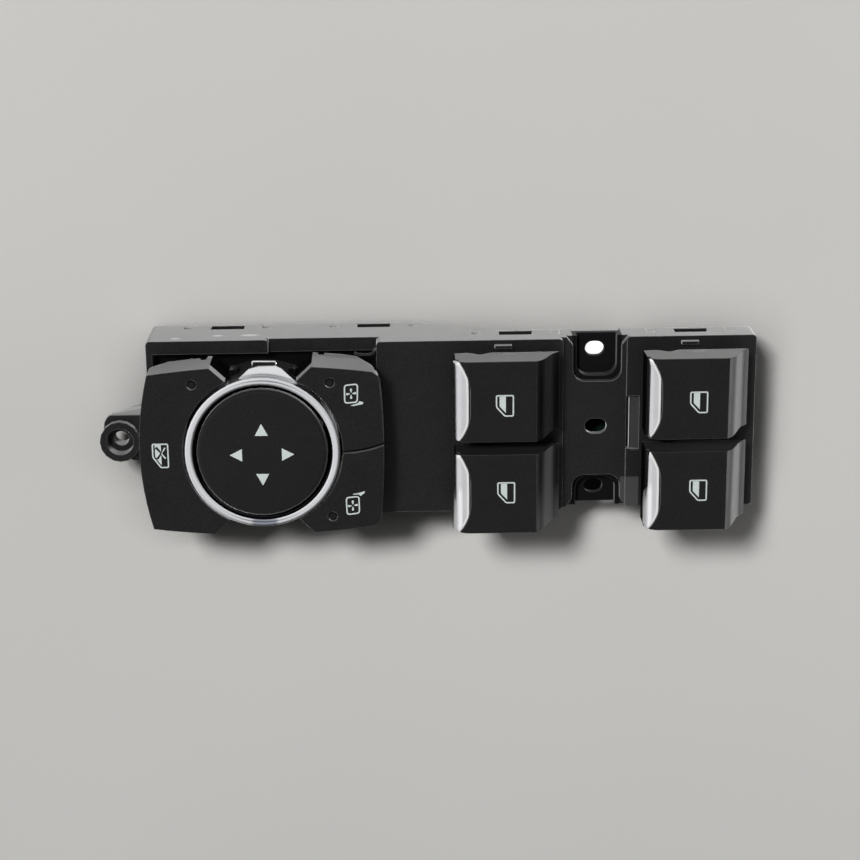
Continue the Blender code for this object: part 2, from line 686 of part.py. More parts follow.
def upper_housing():
    ramp = LEFT + SKIRT_RAMP_START
    ramp_end = ramp + SKIRT_RAMP_LENGTH
    body = side(
        [(LEFT, SKIRT_DEEP_LEVEL), (ramp, SKIRT_DEEP_LEVEL), (ramp_end, SKIRT_HIGH_LEVEL), (RIGHT, SKIRT_HIGH_LEVEL),
         (RIGHT, TAIL_LEVEL), (TAIL_LEFT, TAIL_LEVEL), (TAIL_LEFT, SADDLE_LEVEL), (SADDLE_LEFT, SADDLE_LEVEL),
         (SADDLE_LEFT, PLATE_LEVEL), (PLATE_LEFT, PLATE_LEVEL), (PLATE_LEFT, RIM_LEVEL - RIM_STEP),
         (PLATE_LEFT - RIM_STEP_LENGTH, RIM_LEVEL - RIM_STEP), (PLATE_LEFT - RIM_STEP_LENGTH, RIM_LEVEL),
         (LEFT, RIM_LEVEL)],
        (FRONT, REAR),
    )
    soften(body, HOUSING_CORNER, lambda a, b: abs(a.x - b.x) < 0.01 and abs(a.y - b.y) < 0.01)
    ear_shapes, ear_tools = ear()
    join(body, *ear_shapes)

    inner_x = (LEFT + HOUSING_WALL, RIGHT - HOUSING_WALL)
    inner_y = (FRONT + HOUSING_WALL, REAR - HOUSING_WALL)
    rim_under = RIM_LEVEL - RIM_STEP - HOUSING_WALL
    pocket_under = POCKET_LEVEL - PLATE_THICKNESS
    cut(body, side(
        [(inner_x[0], -1), (inner_x[1], -1), (inner_x[1], TAIL_LEVEL - PLATE_THICKNESS),
         (TAIL_LEFT + HOUSING_WALL, TAIL_LEVEL - PLATE_THICKNESS), (TAIL_LEFT + HOUSING_WALL, pocket_under),
         (SADDLE_LEFT - HOUSING_WALL, pocket_under), (SADDLE_LEFT - HOUSING_WALL, PLATE_LEVEL - PLATE_THICKNESS),
         (PLATE_LEFT + HOUSING_WALL, PLATE_LEVEL - PLATE_THICKNESS), (PLATE_LEFT + HOUSING_WALL, CARRIER_LEVEL + 2),
         (PLATE_LEFT, CARRIER_LEVEL + 2), (PLATE_LEFT, rim_under), (inner_x[0], rim_under)],
        inner_y,
    ))
    cut(body, box((inner_x[0], PLATE_LEFT), (inner_y[0], REAR - RIM_WIDTH), (CARRIER_LEVEL, RIM_LEVEL + 9)))
    cut(body, box(
        (SADDLE_LEFT + POCKET_LEFT_WALL - HOUSING_WALL, TAIL_LEFT - POCKET_RIGHT_WALL + 0.2),
        (FRONT + POCKET_FRONT_DEPTH + HOUSING_WALL, REAR - POCKET_REAR_DEPTH - HOUSING_WALL),
        (pocket_under - 1, SADDLE_LEVEL - PLATE_THICKNESS),
    ))
    for edge, depth, turn in ((REAR, POCKET_REAR_DEPTH, 1), (FRONT, POCKET_FRONT_DEPTH, -1)):
        cut(body, plan(pocket_outline(edge, depth, turn, 0.0), (POCKET_LEDGE_LEVEL, SADDLE_LEVEL + 5)))
        cut(body, plan(pocket_outline(edge, depth, turn, POCKET_LEDGE), (POCKET_LEVEL, SADDLE_LEVEL + 5)))
        cut(body, box(
            (SADDLE_LEFT + POCKET_LEFT_WALL, TAIL_LEFT - POCKET_RIGHT_WALL),
            sorted((edge + turn, edge - turn * (HOUSING_WALL + 1))), (SKIRT_HIGH_LEVEL - 1, pocket_under),
        ))

    screw_x = SADDLE_LEFT + SCREW_HOLE_X
    through = (POCKET_LEVEL - PLATE_THICKNESS - 1, POCKET_LEVEL + 1)
    for y in (REAR - SCREW_HOLE_INSET, FRONT + SCREW_HOLE_INSET):
        cut(body, plan(obround((screw_x, y), SCREW_HOLE_LENGTH, SCREW_HOLE_WIDTH), through))
    cut(body, plan(
        obround((screw_x, MIDDLE + SADDLE_HOLE_OFFSET), SADDLE_HOLE_LENGTH, SADDLE_HOLE_WIDTH),
        (SADDLE_LEVEL - PLATE_THICKNESS - 1, SADDLE_LEVEL + 1),
    ))
    ramp_start = TAIL_LEFT + SADDLE_GROOVE_WIDTH
    ramp_end = ramp_start + SADDLE_GROOVE_RAMP
    groove_bed = TAIL_LEVEL - SADDLE_GROOVE_DEPTH
    cut(body, side(
        [(TAIL_LEFT, TAIL_LEVEL + 1), (TAIL_LEFT, groove_bed), (ramp_start, groove_bed),
         (ramp_start, TAIL_LEVEL - SADDLE_GROOVE_RAMP_DROP), (ramp_end, TAIL_LEVEL - 0.1), (ramp_end, TAIL_LEVEL + 1)],
        (MIDDLE - SADDLE_GROOVE_LENGTH / 2, MIDDLE + SADDLE_GROOVE_LENGTH / 2),
    ))
    for x, y, level in (PADDLES["front_right"], PADDLES["rear_right"]):
        middle = x + PIVOT_STATION + CLIP_RIB_OFFSET
        rear = REAR - CLIP_RIB_INSET
        long, deep, high = CLIP_RIB
        join(body, box((middle - long / 2, middle + long / 2), (rear - deep, rear), (level - 0.5, level + high)))
    cut(body, *latch_windows(), *ear_tools)
    for x, y, level in PADDLES.values():
        tower, pin, slot = paddle_tower(x, y, level)
        join(body, tower, pin)
        cut(body, slot)
    ledge = (CARRIER_LEVEL - CLEARANCE - LEDGE_THICKNESS, CARRIER_LEVEL - CLEARANCE)
    root = HOUSING_WALL / 2
    for y in (MIDDLE - LEDGE_OFFSET, MIDDLE + LEDGE_OFFSET):
        across = (y - LEDGE_HALF_WIDTH, y + LEDGE_HALF_WIDTH)
        join(body, box((LEFT + root, LEFT + HOUSING_WALL + LEDGE_DEPTH), across, ledge))
        shelf = box((PLATE_LEFT - LEDGE_DEPTH, PLATE_LEFT + HOUSING_WALL), across, ledge)
        hanger = box(
            (PLATE_LEFT + 0.4, PLATE_LEFT + HOUSING_WALL - 0.3), (across[0] - 0.2, across[1] + 0.2),
            (ledge[0] + 0.3, CARRIER_LEVEL + 3),
        )
        join(body, hanger, shelf)
    return finish("upper_housing", body, BLACK_HOUSING)


# Lower housing: a tray inside the skirt, with latch lugs and the connector shroud

def tray_outline(inset, top_deep, top_high):
    """The tray seen from the front, deep under the well and high past the ramp, moved in by inset."""
    ramp = LEFT + SKIRT_RAMP_START
    ramp_end = ramp + SKIRT_RAMP_LENGTH
    step = ramp_end + CLEARANCE
    return [
        (LOWER_LEFT + inset, inset), (ramp - inset / 2, inset), (ramp_end - inset / 2, TRAY_HIGH_LEVEL + inset),
        (LOWER_RIGHT - inset, TRAY_HIGH_LEVEL + inset), (LOWER_RIGHT - inset, top_high), (step, top_high),
        (step, top_deep), (LOWER_LEFT + inset, top_deep),
    ]


def lower_housing():
    body = side(tray_outline(0.0, TRAY_DEEP_TOP, TRAY_HIGH_TOP), (LOWER_FRONT, LOWER_REAR))
    above = TRAY_HIGH_TOP + 5
    hollow = side(tray_outline(LOWER_WALL, above, above), (LOWER_FRONT + LOWER_WALL, LOWER_REAR - LOWER_WALL))
    cut(hollow, *screw_notches(-LOWER_WALL, (-2, above + 1)))
    cut(body, settled(hollow), *screw_notches(0.0, (-1, above)))
    for station in LATCH_STATIONS:
        x = LEFT + station
        low = skirt_level(x) + LATCH_WINDOW_RISE + CLEARANCE
        high = low + LATCH_WINDOW_HEIGHT - 2 * CLEARANCE
        half = FINGER_LENGTH / 2
        reach = HOUSING_WALL + CLEARANCE - LUG_RECESS
        for face, out in ((LOWER_REAR, 1), (LOWER_FRONT, -1)):
            inner = face - out * (LOWER_WALL - 0.2)
            across = sorted((inner, face - out * 0.1))
            finger = box((x - half, x + half), across, (low - FINGER_BELOW, high + FINGER_ABOVE))
            lug = latch_lug(x, face, out, reach, low, high)
            join(body, finger, lug)

    half_x = CONNECTOR_LENGTH / 2
    half_y = CONNECTOR_DEPTH / 2
    outer = box(
        (CONNECTOR_X - half_x - SHROUD_WALL, CONNECTOR_X + half_x + SHROUD_WALL),
        (MIDDLE - half_y - SHROUD_WALL, MIDDLE + half_y + SHROUD_WALL), (0, TRAY_HIGH_LEVEL + LOWER_WALL / 2),
    )
    soften(outer, 1.2, lambda a, b: abs(a.z - b.z) > 1)
    socket = box(
        (CONNECTOR_X - half_x, CONNECTOR_X + half_x), (MIDDLE - half_y, MIDDLE + half_y),
        (-1, BOARD_LEVEL + 1),
    )
    key_slot = box(
        (CONNECTOR_X - SHROUD_SLOT_WIDTH / 2, CONNECTOR_X + SHROUD_SLOT_WIDTH / 2),
        (MIDDLE - half_y - SHROUD_WALL - 1, MIDDLE - half_y + 1), (-1, SHROUD_SLOT_TOP),
    )
    join(body, outer)
    cut(body, socket, key_slot)
    for x, y in board_supports():
        foot = LOWER_WALL / 2 if x < LEFT + SKIRT_RAMP_START else TRAY_HIGH_LEVEL + LOWER_WALL / 2
        join(body, rod((x, y), SUPPORT_RADIUS, (foot, BOARD_LEVEL - CLEARANCE), sides=16))
    return finish("lower_housing", body, BLACK_HOUSING)


def screw_notches(inset_by, z):
    """The two places where the tray and the board step in, so that a screw can pass beside them."""
    grown = TRAY_NOTCH_WALL - inset_by
    x = (SADDLE_LEFT + POCKET_LEFT_WALL - grown, TAIL_LEFT - POCKET_RIGHT_WALL + grown)
    rear = REAR - POCKET_REAR_DEPTH + TRAY_NOTCH_WALL + inset_by
    front = FRONT + POCKET_FRONT_DEPTH - TRAY_NOTCH_WALL - inset_by
    return box(x, (rear, REAR + 2), z), box(x, (FRONT - 2, front), z)


def latch_lug(x, face, out, reach, low, high):
    """A wedge that snaps into a latch window: thin at its top and square at its lower side."""
    root = face - out * LOWER_WALL / 2
    points = [(root, low), (face + out * reach, low), (face + out * reach, low + LUG_EDGE), (root, high)]
    if out < 0:
        points.reverse()
    mesh = flat_outline(points, LUG_LENGTH)
    mesh.transform(Matrix.Rotation(math.pi / 2, 4, "X"))
    mesh.transform(Matrix.Rotation(math.pi / 2, 4, "Z"))
    mesh.transform(Matrix.Translation((x * MM, 0, 0)))
    return link("lug", mesh)


def board_supports():
    """Six posts that the board rests on, clear of the connector and the ramp."""
    columns = (LEFT + 12.0, LEFT + 60.0, LEFT + 110.0, RIGHT - 9.0)
    return [(x, y) for x in columns for y in (LOWER_FRONT + SUPPORT_INSET, LOWER_REAR - SUPPORT_INSET)]


# Circuit board and what is soldered on it

def circuit_board():
    inset = LOWER_WALL + BOARD_MARGIN
    left, right = LOWER_LEFT + inset, LOWER_RIGHT - inset
    front, rear = LOWER_FRONT + inset, LOWER_REAR - inset
    corner = BOARD_CORNER
    outline = [
        (left + corner, front), (right - corner, front), (right, front + corner), (right, rear - corner),
        (right - corner, rear), (left + corner, rear), (left, rear - corner), (left, front + corner),
    ]
    body = plan(outline, (BOARD_LEVEL, BOARD_TOP))
    cut(body, *screw_notches(-LOWER_WALL - BOARD_MARGIN, (BOARD_LEVEL - 1, BOARD_TOP + 1)))
    for x in (left + 5, PLATE_LEFT, SADDLE_LEFT + SADDLE_LENGTH / 2, right - 4):
        cut(body, rod((x, MIDDLE), BOARD_HOLE_RADIUS, (BOARD_LEVEL - 1, BOARD_TOP + 1), sides=20))
    return finish("circuit_board", body, BOARD_GREEN)


def connector_header():
    """The pin block under the board, its pins pointing down into the shroud."""
    top = BOARD_LEVEL - CLEARANCE
    half_x = CONNECTOR_LENGTH / 2 - CLEARANCE
    half_y = CONNECTOR_DEPTH / 2 - CLEARANCE
    body = box(
        (CONNECTOR_X - half_x, CONNECTOR_X + half_x), (MIDDLE - half_y, MIDDLE + half_y),
        (top - HEADER_THICKNESS, top),
    )
    half = PIN_SIZE / 2
    for column in range(PIN_COLUMNS):
        for row in range(PIN_ROWS):
            x = CONNECTOR_X + (column - (PIN_COLUMNS - 1) / 2) * PIN_PITCH
            y = MIDDLE + (row - (PIN_ROWS - 1) / 2) * PIN_PITCH * 1.5
            join(body, box((x - half, x + half), (y - half, y + half), (PIN_END_LEVEL, top - HEADER_THICKNESS / 2)))
    return finish("connector_header", body, BLACK_HOUSING)


def tact_switch(name, x, y):
    half = TACT_SIZE / 2
    body = box((x - half, x + half), (y - half, y + half), (ON_BOARD, ON_BOARD + TACT_HEIGHT))
    soften(body, 0.5, lambda a, b: abs(a.z - b.z) > 1, segments=1)
    join(body, rod((x, y), TACT_BUTTON_RADIUS, (ON_BOARD + TACT_HEIGHT / 2, TACT_TOP), sides=16))
    return finish(name, body, SWITCH_GREY)


def slide_switch(name, x, y):
    """The switch base with a groove along X, and the slider whose fork holds the paddle's arm."""
    pivot = x + PIVOT_STATION
    half = SWITCH_LENGTH / 2
    wide = SWITCH_WIDTH / 2
    top = ON_BOARD + SWITCH_HEIGHT
    base = box((pivot - half, pivot + half), (y - wide, y + wide), (ON_BOARD, top))
    soften(base, 0.5, lambda a, b: abs(a.z - b.z) > 1, segments=1)
    groove = SLIDER_WIDTH / 2 + CLEARANCE
    bed = top - SLIDER_SUNK - CLEARANCE
    cut(base, box((pivot - half - 1, pivot + half + 1), (y - groove, y + groove), (bed, top + 1)))
    finish(name + "_switch_base", base, SWITCH_GREY)

    reach = SLIDER_LENGTH / 2
    gap = ARM_THICKNESS / 2 + FORK_CLEARANCE
    slide_width = SLIDER_WIDTH / 2
    slider = box((pivot - reach, pivot + reach), (y - slide_width, y + slide_width), (bed + CLEARANCE, top + 0.2))
    for turn in (-1, 1):
        prong = sorted((pivot + turn * gap, pivot + turn * (gap + FORK_PRONG)))
        join(slider, box(prong, (y - slide_width, y + slide_width), (top, SLIDER_TOP)))
    finish(name + "_contact_slider", slider, WHITE_NYLON, pivot=(pivot, y, ARM_LEVEL))


# Button carrier: base plate in the well, round collar, key guides and gimbal posts

def button_carrier():
    plate = (CARRIER_LEVEL, CARRIER_LEVEL + CARRIER_THICKNESS)
    body = box(
        (LEFT + HOUSING_WALL + CLEARANCE, PLATE_LEFT - CLEARANCE),
        (FRONT + HOUSING_WALL + CLEARANCE, REAR - RIM_WIDTH - CLEARANCE), plate,
    )
    collar = turned(
        [(COLLAR_RADIUS, COLLAR_TOP), (COLLAR_RADIUS, plate[0] + 0.5),
         (COLLAR_INNER, plate[0] + 0.5), (COLLAR_INNER, COLLAR_TOP)],
        (RING_X, RING_Y), steps=60,
    )
    join(body, collar)
    post_x = GIMBAL_OUTER + GIMBAL_PIN_LENGTH / 2
    for turn in (-1, 1):
        x = sorted((RING_X + turn * (post_x - 0.1), RING_X + turn * (post_x + POST_THICKNESS)))
        across = (RING_Y - POST_HALF_WIDTH, RING_Y + POST_HALF_WIDTH)
        post = box(x, across, (plate[1] - 0.8, GIMBAL_LEVEL + POST_ABOVE_PIVOT))
        hole = rod((RING_Y, GIMBAL_LEVEL), GIMBAL_PIN_RADIUS + PIVOT_CLEARANCE, (x[0] - 1, x[1] + 1), axis="X", sides=16)
        join(body, post)
        cut(body, hole)
    for x, y in KEY_STEMS.values():
        guide = STEM_RADIUS + CLEARANCE
        join(body, rod((x, y), guide + GUIDE_WALL, (plate[1] - 0.8, plate[1] + GUIDE_HEIGHT), sides=24))
        cut(body, rod((x, y), guide, (plate[0] - 1, plate[1] + GUIDE_HEIGHT + 1), sides=24))
    for out in PAD_DIRECTIONS.values():
        centre = (RING_X + out[0] * PLUNGER_CIRCLE, RING_Y + out[1] * PLUNGER_CIRCLE)
        cut(body, rod(centre, PLUNGER_RADIUS + PLUNGER_SWING, (plate[0] - 1, plate[1] + 1), sides=24))
    for turn in (-1, 1):
        x = turn * COLLAR_TAB_X
        face = math.sqrt(COLLAR_RADIUS ** 2 - x * x)
        join(body, box(
            (RING_X + x - 1.0, RING_X + x + 1.0),
            (RING_Y + face - COLLAR_WALL / 2, RING_Y + face + COLLAR_TAB_REACH),
            (COLLAR_TAB_LEVEL - COLLAR_TAB_HEIGHT, COLLAR_TAB_LEVEL),
        ))
    return finish("button_carrier", body, BLACK_HOUSING)


def mirror_ring_trim():
    """The ring cap over the collar, with a crowned top and a lobe that fills the gap between the keys."""
    skirt = RING_LEVEL - RING_SKIRT
    under = COLLAR_TOP + CLEARANCE
    crown = [
        (RING_INNER_RADIUS + (RING_RADIUS - RING_INNER_RADIUS) * (0.5 - 0.5 * math.cos(a)),
         RING_LEVEL - RING_CROWN * (1 - math.sin(a)))
        for a in (math.pi * i / 6 for i in range(7))
    ]
    profile = crown + [
        (RING_RADIUS, skirt), (RING_RADIUS - RING_WALL, skirt),
        (RING_RADIUS - RING_WALL, under), (RING_INNER_RADIUS, under),
    ]
    body = turned(profile, (RING_X, RING_Y), steps=60)
    back = RING_Y + RING_RADIUS
    lobe_top = RING_LEVEL - LOBE_DROP
    lobe = plan(
        [(RING_X - LOBE_ROOT_LEFT, back - LOBE_REACH), (RING_X + LOBE_ROOT_RIGHT, back - LOBE_REACH),
         (RING_X + LOBE_RIGHT, back + LOBE_REACH - LOBE_SHOULDER), (RING_X + LOBE_RIGHT - 1.6, back + LOBE_REACH),
         (RING_X - LOBE_LEFT / 8, back + LOBE_REACH), (RING_X - LOBE_LEFT, back + LOBE_REACH - LOBE_SHOULDER)],
        (lobe_top - LOBE_THICKNESS, lobe_top),
    )
    join(body, lobe)
    cut(body, rod((RING_X, RING_Y), RING_RADIUS - RING_WALL, (skirt - 1, under - 0.2), sides=60))
    return finish("mirror_ring_trim", body, SATIN_CHROME)


# Keys around the ring

def cluster_edge(x):
    """The long edge of the button cluster, a shallow arc that is furthest out at the keys' inner ends."""
    return CLUSTER_HALF_DEPTH - (x * x - KEY_END_OUT * KEY_END_OUT) / (2 * CLUSTER_CURVE)


def lock_key_outline():
    edge = LOCK_KEY_CORNER
    rise = LOCK_KEY_SIDE - LOCK_KEY_CORNER
    corner = cluster_edge(edge)
    span = edge - KEY_END_OUT
    top = [(-x, cluster_edge(x)) for x in (KEY_END_OUT + span * i / 4 for i in range(4))]
    sides = [(-LOCK_KEY_SIDE + rise * (t / 6) ** 2, -corner * t / 6) for t in range(-6, 7)]
    bottom = [(x, -y) for x, y in reversed(top)]
    inner = arc((0, 0), KEY_INNER_RADIUS, 180 + KEY_END_ANGLE, 180 - KEY_END_ANGLE, 20)
    return top + sides + bottom + inner


def parting(x):
    """The line between the two keys on the right, which rises towards the plate."""
    return PARTING_START + PARTING_RISE * ((x - KEY_INNER_RADIUS) / (MIRROR_KEY_SIDE - KEY_INNER_RADIUS)) ** 2


def mirror_key_outline(turn):
    """The upper key for turn 1 and the lower one for turn -1."""
    half_gap = turn * PARTING_GAP / 2
    across = [KEY_INNER_RADIUS + (MIRROR_KEY_SIDE - KEY_INNER_RADIUS) * i / 4 for i in range(5)]
    split = [(x, parting(x) + half_gap) for x in across]
    start = math.degrees(math.asin(split[0][1] / KEY_INNER_RADIUS))
    inner = arc((0, 0), KEY_INNER_RADIUS, turn * KEY_END_ANGLE, start, 10)[:-1]
    heights = [(CLUSTER_HALF_DEPTH - 2 * MIRROR_KEY_CORNER[1] + 1.25) * i / 3 for i in (1, 2, 3)]
    right = [(MIRROR_KEY_SIDE - y * y / (2 * MIRROR_KEY_CURVE), turn * y) for y in heights]
    span = MIRROR_KEY_SIDE - MIRROR_KEY_CORNER_START - KEY_END_OUT
    top = [(x, turn * cluster_edge(x)) for x in (KEY_END_OUT + span * i / 4 for i in (4, 3, 2, 1, 0))]
    corner = [(MIRROR_KEY_SIDE - MIRROR_KEY_CORNER[0], turn * (CLUSTER_HALF_DEPTH - MIRROR_KEY_CORNER[1]))]
    return inner + split + right + corner + top


def key(name, outline, bottom, stem):
    points = [(RING_X + x, RING_Y + y) for x, y in outline]
    low = MIRROR_SKIRT_BOTTOM if name == "right_mirror" else bottom
    shell = plan(points, (low, KEY_LEVEL))
    soften(shell, KEY_EDGE, lambda a, b: min(a.z, b.z) > KEY_LEVEL - 0.01)
    cut(shell, plan(inset(points, KEY_WALL), (low - 1, KEY_LEVEL - KEY_WALL)))
    if name != "left_mirror":
        rear_skirt(name, shell, low)
    join(shell, rod(stem, STEM_RADIUS, (STEM_END, KEY_LEVEL - KEY_WALL / 2), sides=24))
    lens_hole = INDICATOR_RADIUS + CLEARANCE
    lens = indicator_place(name)
    tube = (KEY_LEVEL - LENS_TUBE_LENGTH, KEY_LEVEL - KEY_WALL / 2)
    join(shell, rod(lens, lens_hole + LENS_TUBE_WALL, tube, sides=24))
    cut(shell, rod(lens, lens_hole, (low - 1, KEY_LEVEL + 1), sides=24))
    finish(name + "_button", shell, BLACK_SOFT, pivot=(*stem, KEY_LEVEL))


def rear_skirt(name, shell, low):
    """The rear wall of a key: its lower edge rises to the outer corner, and a notch frees a tab at the inner one."""
    lock = name == "window_lock"
    turn = -1 if lock else 1
    outer = LOCK_KEY_SIDE if lock else MIRROR_KEY_SIDE
    far = RING_Y + CLUSTER_HALF_DEPTH + 1
    near = RING_Y + CLUSTER_HALF_DEPTH - MIRROR_SKIRT_DEPTH
    if not lock:
        cut(shell, box((RING_X, RING_X + outer + 2), (RING_Y - 2, near + 0.01), (low - 2, MIRROR_KEY_BOTTOM)))
    top = KEY_LEVEL - SKIRT_TOP_DROP
    steps = ((outer + 1, low - 1), (outer + 1, top), (outer - SKIRT_SIDE_CUT, top))
    middle = KEY_CORNER_REACH * SKIRT_CURVE
    rise = LOCK_SKIRT_RISE if lock else MIRROR_SKIRT_RISE
    points = [*steps, (outer - middle, low + rise), (outer - KEY_CORNER_REACH, low + rise * SKIRT_CURVE_RISE)]
    if not lock:
        points.append((outer - KEY_CORNER_REACH - MIRROR_SKIRT_STEP, low - 0.1))
    points.append((points[-1][0], low - 1))
    cut(shell, side([(RING_X + turn * x, z) for x, z in points], (near, far)))
    tab_edge = KEY_END_OUT + 0.1
    y = RING_Y + cluster_edge(KEY_END_OUT)
    tab = sorted((RING_X + turn * tab_edge, RING_X + turn * (tab_edge + KEY_TAB_WIDTH)))
    notch = RING_X + turn * (KEY_END_OUT + KEY_NOTCH_X)
    half = KEY_NOTCH_WIDTH / 2
    cut(shell, box((notch - half, notch + half), (y - KEY_WALL - 0.8, far), (low - 1, low + KEY_NOTCH_HEIGHT)))
    if lock:
        join(shell, box(tab, (y - KEY_WALL - KEY_TAB_SETBACK, y - KEY_TAB_SETBACK), (low - KEY_TAB_DROP, low + 2.0)))


def indicator_place(name):
    turn_x = -1 if name == "window_lock" else 1
    turn_y = -1 if name == "left_mirror" else 1
    return RING_X + turn_x * INDICATOR_X, RING_Y + turn_y * INDICATOR_Y


def light_pipe(name, stem):
    centre = indicator_place(name)
    body = rod(centre, INDICATOR_RADIUS, (KEY_LEVEL - INDICATOR_LENGTH, KEY_LEVEL - 0.1), sides=24)
    finish(name + "_light_pipe", body, SMOKE_LENS, pivot=(*stem, KEY_LEVEL))


# Mirror pad on its gimbal

def mirror_pad():
    crown = PAD_RIM_LEVEL + PAD_CROWN
    flat = PAD_RADIUS - PAD_EDGE
    slope = [(flat * i / 4, crown - PAD_DISH * (i / 4) ** 2) for i in range(1, 5)]
    edge_base = PAD_RIM_LEVEL - PAD_EDGE_DROP
    rim = [
        (flat + PAD_EDGE * math.sin(a), edge_base + (crown - PAD_DISH - edge_base) * math.cos(a))
        for a in (math.pi / 2 * i / 4 for i in range(1, 5))
    ]
    inner = flat - 0.6
    under = [(inner * i / 4, crown - PAD_WALL - PAD_DISH * (i / 4) ** 2) for i in (4, 3, 2)]
    skirt = PAD_RIM_LEVEL - PAD_SKIRT
    stem = [(PAD_STEM_RADIUS, crown - PAD_WALL), (PAD_STEM_RADIUS, PAD_STEM_FOOT), (0.0, PAD_STEM_FOOT)]
    profile = [(0.0, crown), *slope, *rim, (PAD_RADIUS, skirt), (inner, skirt), *under, *stem]
    body = turned(profile, (RING_X, RING_Y), steps=44)
    pivot = (RING_X, RING_Y, GIMBAL_LEVEL)
    hole = rod(
        (RING_X, GIMBAL_LEVEL), GIMBAL_PIN_RADIUS + PIVOT_CLEARANCE,
        (RING_Y - PAD_STEM_RADIUS - 1, RING_Y + PAD_STEM_RADIUS + 1), axis="Y", sides=16,
    )
    cut(body, hole)
    for out in PAD_DIRECTIONS.values():
        centre = (RING_X + out[0] * PLUNGER_CIRCLE, RING_Y + out[1] * PLUNGER_CIRCLE)
        join(body, rod(centre, PLUNGER_RADIUS, (PLUNGER_END, crown - PAD_WALL - 0.2), sides=12))
    return finish("mirror_pad", body, BLACK_SOFT, pivot=pivot)


def mirror_gimbal():
    """A ring with two pins out along X to the posts, and two pins in along Y to the pad's stem."""
    half = GIMBAL_HEIGHT / 2
    body = turned(
        [(GIMBAL_OUTER, GIMBAL_LEVEL + half), (GIMBAL_OUTER, GIMBAL_LEVEL - half),
         (GIMBAL_INNER, GIMBAL_LEVEL - half), (GIMBAL_INNER, GIMBAL_LEVEL + half)],
        (RING_X, RING_Y), steps=32,
    )
    root = (GIMBAL_INNER + GIMBAL_OUTER) / 2
    for turn in (-1, 1):
        out = sorted((RING_X + turn * root, RING_X + turn * (GIMBAL_OUTER + GIMBAL_PIN_LENGTH)))
        inward = sorted((RING_Y + turn * root, RING_Y + turn * (PAD_STEM_RADIUS - 2.0)))
        join(body, rod((RING_Y, GIMBAL_LEVEL), GIMBAL_PIN_RADIUS, out, axis="X", sides=16))
        join(body, rod((RING_X, GIMBAL_LEVEL), GIMBAL_PIN_RADIUS, inward, axis="Y", sides=16))
    return finish("mirror_gimbal", body, WHITE_NYLON, pivot=(RING_X, RING_Y, GIMBAL_LEVEL))


# Window paddles

def nose(radius, start, end, count):
    """Points (x, z) on the rounded front lip, from the top face round to the front face."""
    centre = (NOSE_RADIUS, PADDLE_TOP - NOSE_RADIUS)
    return arc(centre, radius, start, end, count)


def paddle_lines():
    """The paddle seen from the side, x from its lip: the S-shaped tail, the lower edge with its scallop, the lip."""
    slope_start = PADDLE_LENGTH - SLOPE_LENGTH
    drop = PADDLE_TOP - PADDLE_BOTTOM
    tail = []
    for i in range(9):
        t = i / 8
        tail.append((slope_start + SLOPE_LENGTH * t, PADDLE_TOP - drop * (t - 0.55 * math.sin(2 * math.pi * t) / (2 * math.pi))))
    scallop = []
    for i in range(7):
        t = i / 6
        lift = SCALLOP_RISE * math.sin(math.pi * t) ** 2
        scallop.append((SCALLOP_START + SCALLOP_LENGTH * (1 - t), PADDLE_BOTTOM + lift))
    front = [(0.4, PADDLE_BOTTOM + 0.3)]
    lip = [(0.0, PADDLE_BOTTOM + 1.6)] + nose(NOSE_RADIUS, 180, 90, 6)
    return tail, scallop + front, lip


def hanging(end, radius, y):
    """A blade that hangs from the paddle's top and ends in a round of the given radius."""
    top = PADDLE_TOP - PADDLE_WALL / 2
    return side(arc(end, radius, 180, 360, 10) + [(end[0] + radius, top), (end[0] - radius, top)], y)


def paddle(name, x, y):
    half = PADDLE_WIDTH / 2
    tail, under, lip = paddle_lines()
    shell = side([(x + u, z) for u, z in tail + under + lip], (y - half, y + half))
    drop = PADDLE_TOP - PADDLE_BOTTOM
    for vertex in shell.data.vertices:
        share = (PADDLE_TOP - vertex.co.z / MM) / drop
        vertex.co.y = (y + (vertex.co.y / MM - y) * (1 - PADDLE_DRAFT * share / half)) * MM
    soften(shell, PADDLE_EDGE, lambda a, b: (a.y - y) * (b.y - y) > 0 and max(a.z, b.z) > PADDLE_BOTTOM + 3.2)
    skin = inset(lip + tail, -PADDLE_WALL, closed=False)
    below = PADDLE_BOTTOM - 2
    cavity = [(skin[0][0], below), *skin, (skin[-1][0], below)]
    inner = half - PADDLE_WALL
    cut(shell, side([(x + u, z) for u, z in cavity], (y - inner, y + inner)))

    pivot = x + PIVOT_STATION
    wide = TOWER_WIDTH / 2 + CLEARANCE
    for turn in (-1, 1):
        join(shell, hanging((pivot, PIVOT_LEVEL), LUG_RADIUS, sorted((y + turn * wide, y + turn * (half - 1.2)))))
    bearing = TOWER_WIDTH / 2 + PIVOT_PIN_LENGTH + CLEARANCE
    cut(shell, rod(
        (pivot, PIVOT_LEVEL), PIVOT_RADIUS + PIVOT_CLEARANCE, (y - bearing, y + bearing), axis="Y", sides=24,
    ))
    join(shell, hanging((pivot, ARM_LEVEL), ARM_THICKNESS / 2, (y - ARM_WIDTH / 2, y + ARM_WIDTH / 2)))
    cut(shell, trim_shape(x, y, NOSE_RADIUS - TRIM_BED, NOSE_RADIUS + 2, CLEARANCE, 1.0))
    finish(name + "_paddle", shell, BLACK_SOFT, pivot=(pivot, y, PIVOT_LEVEL))


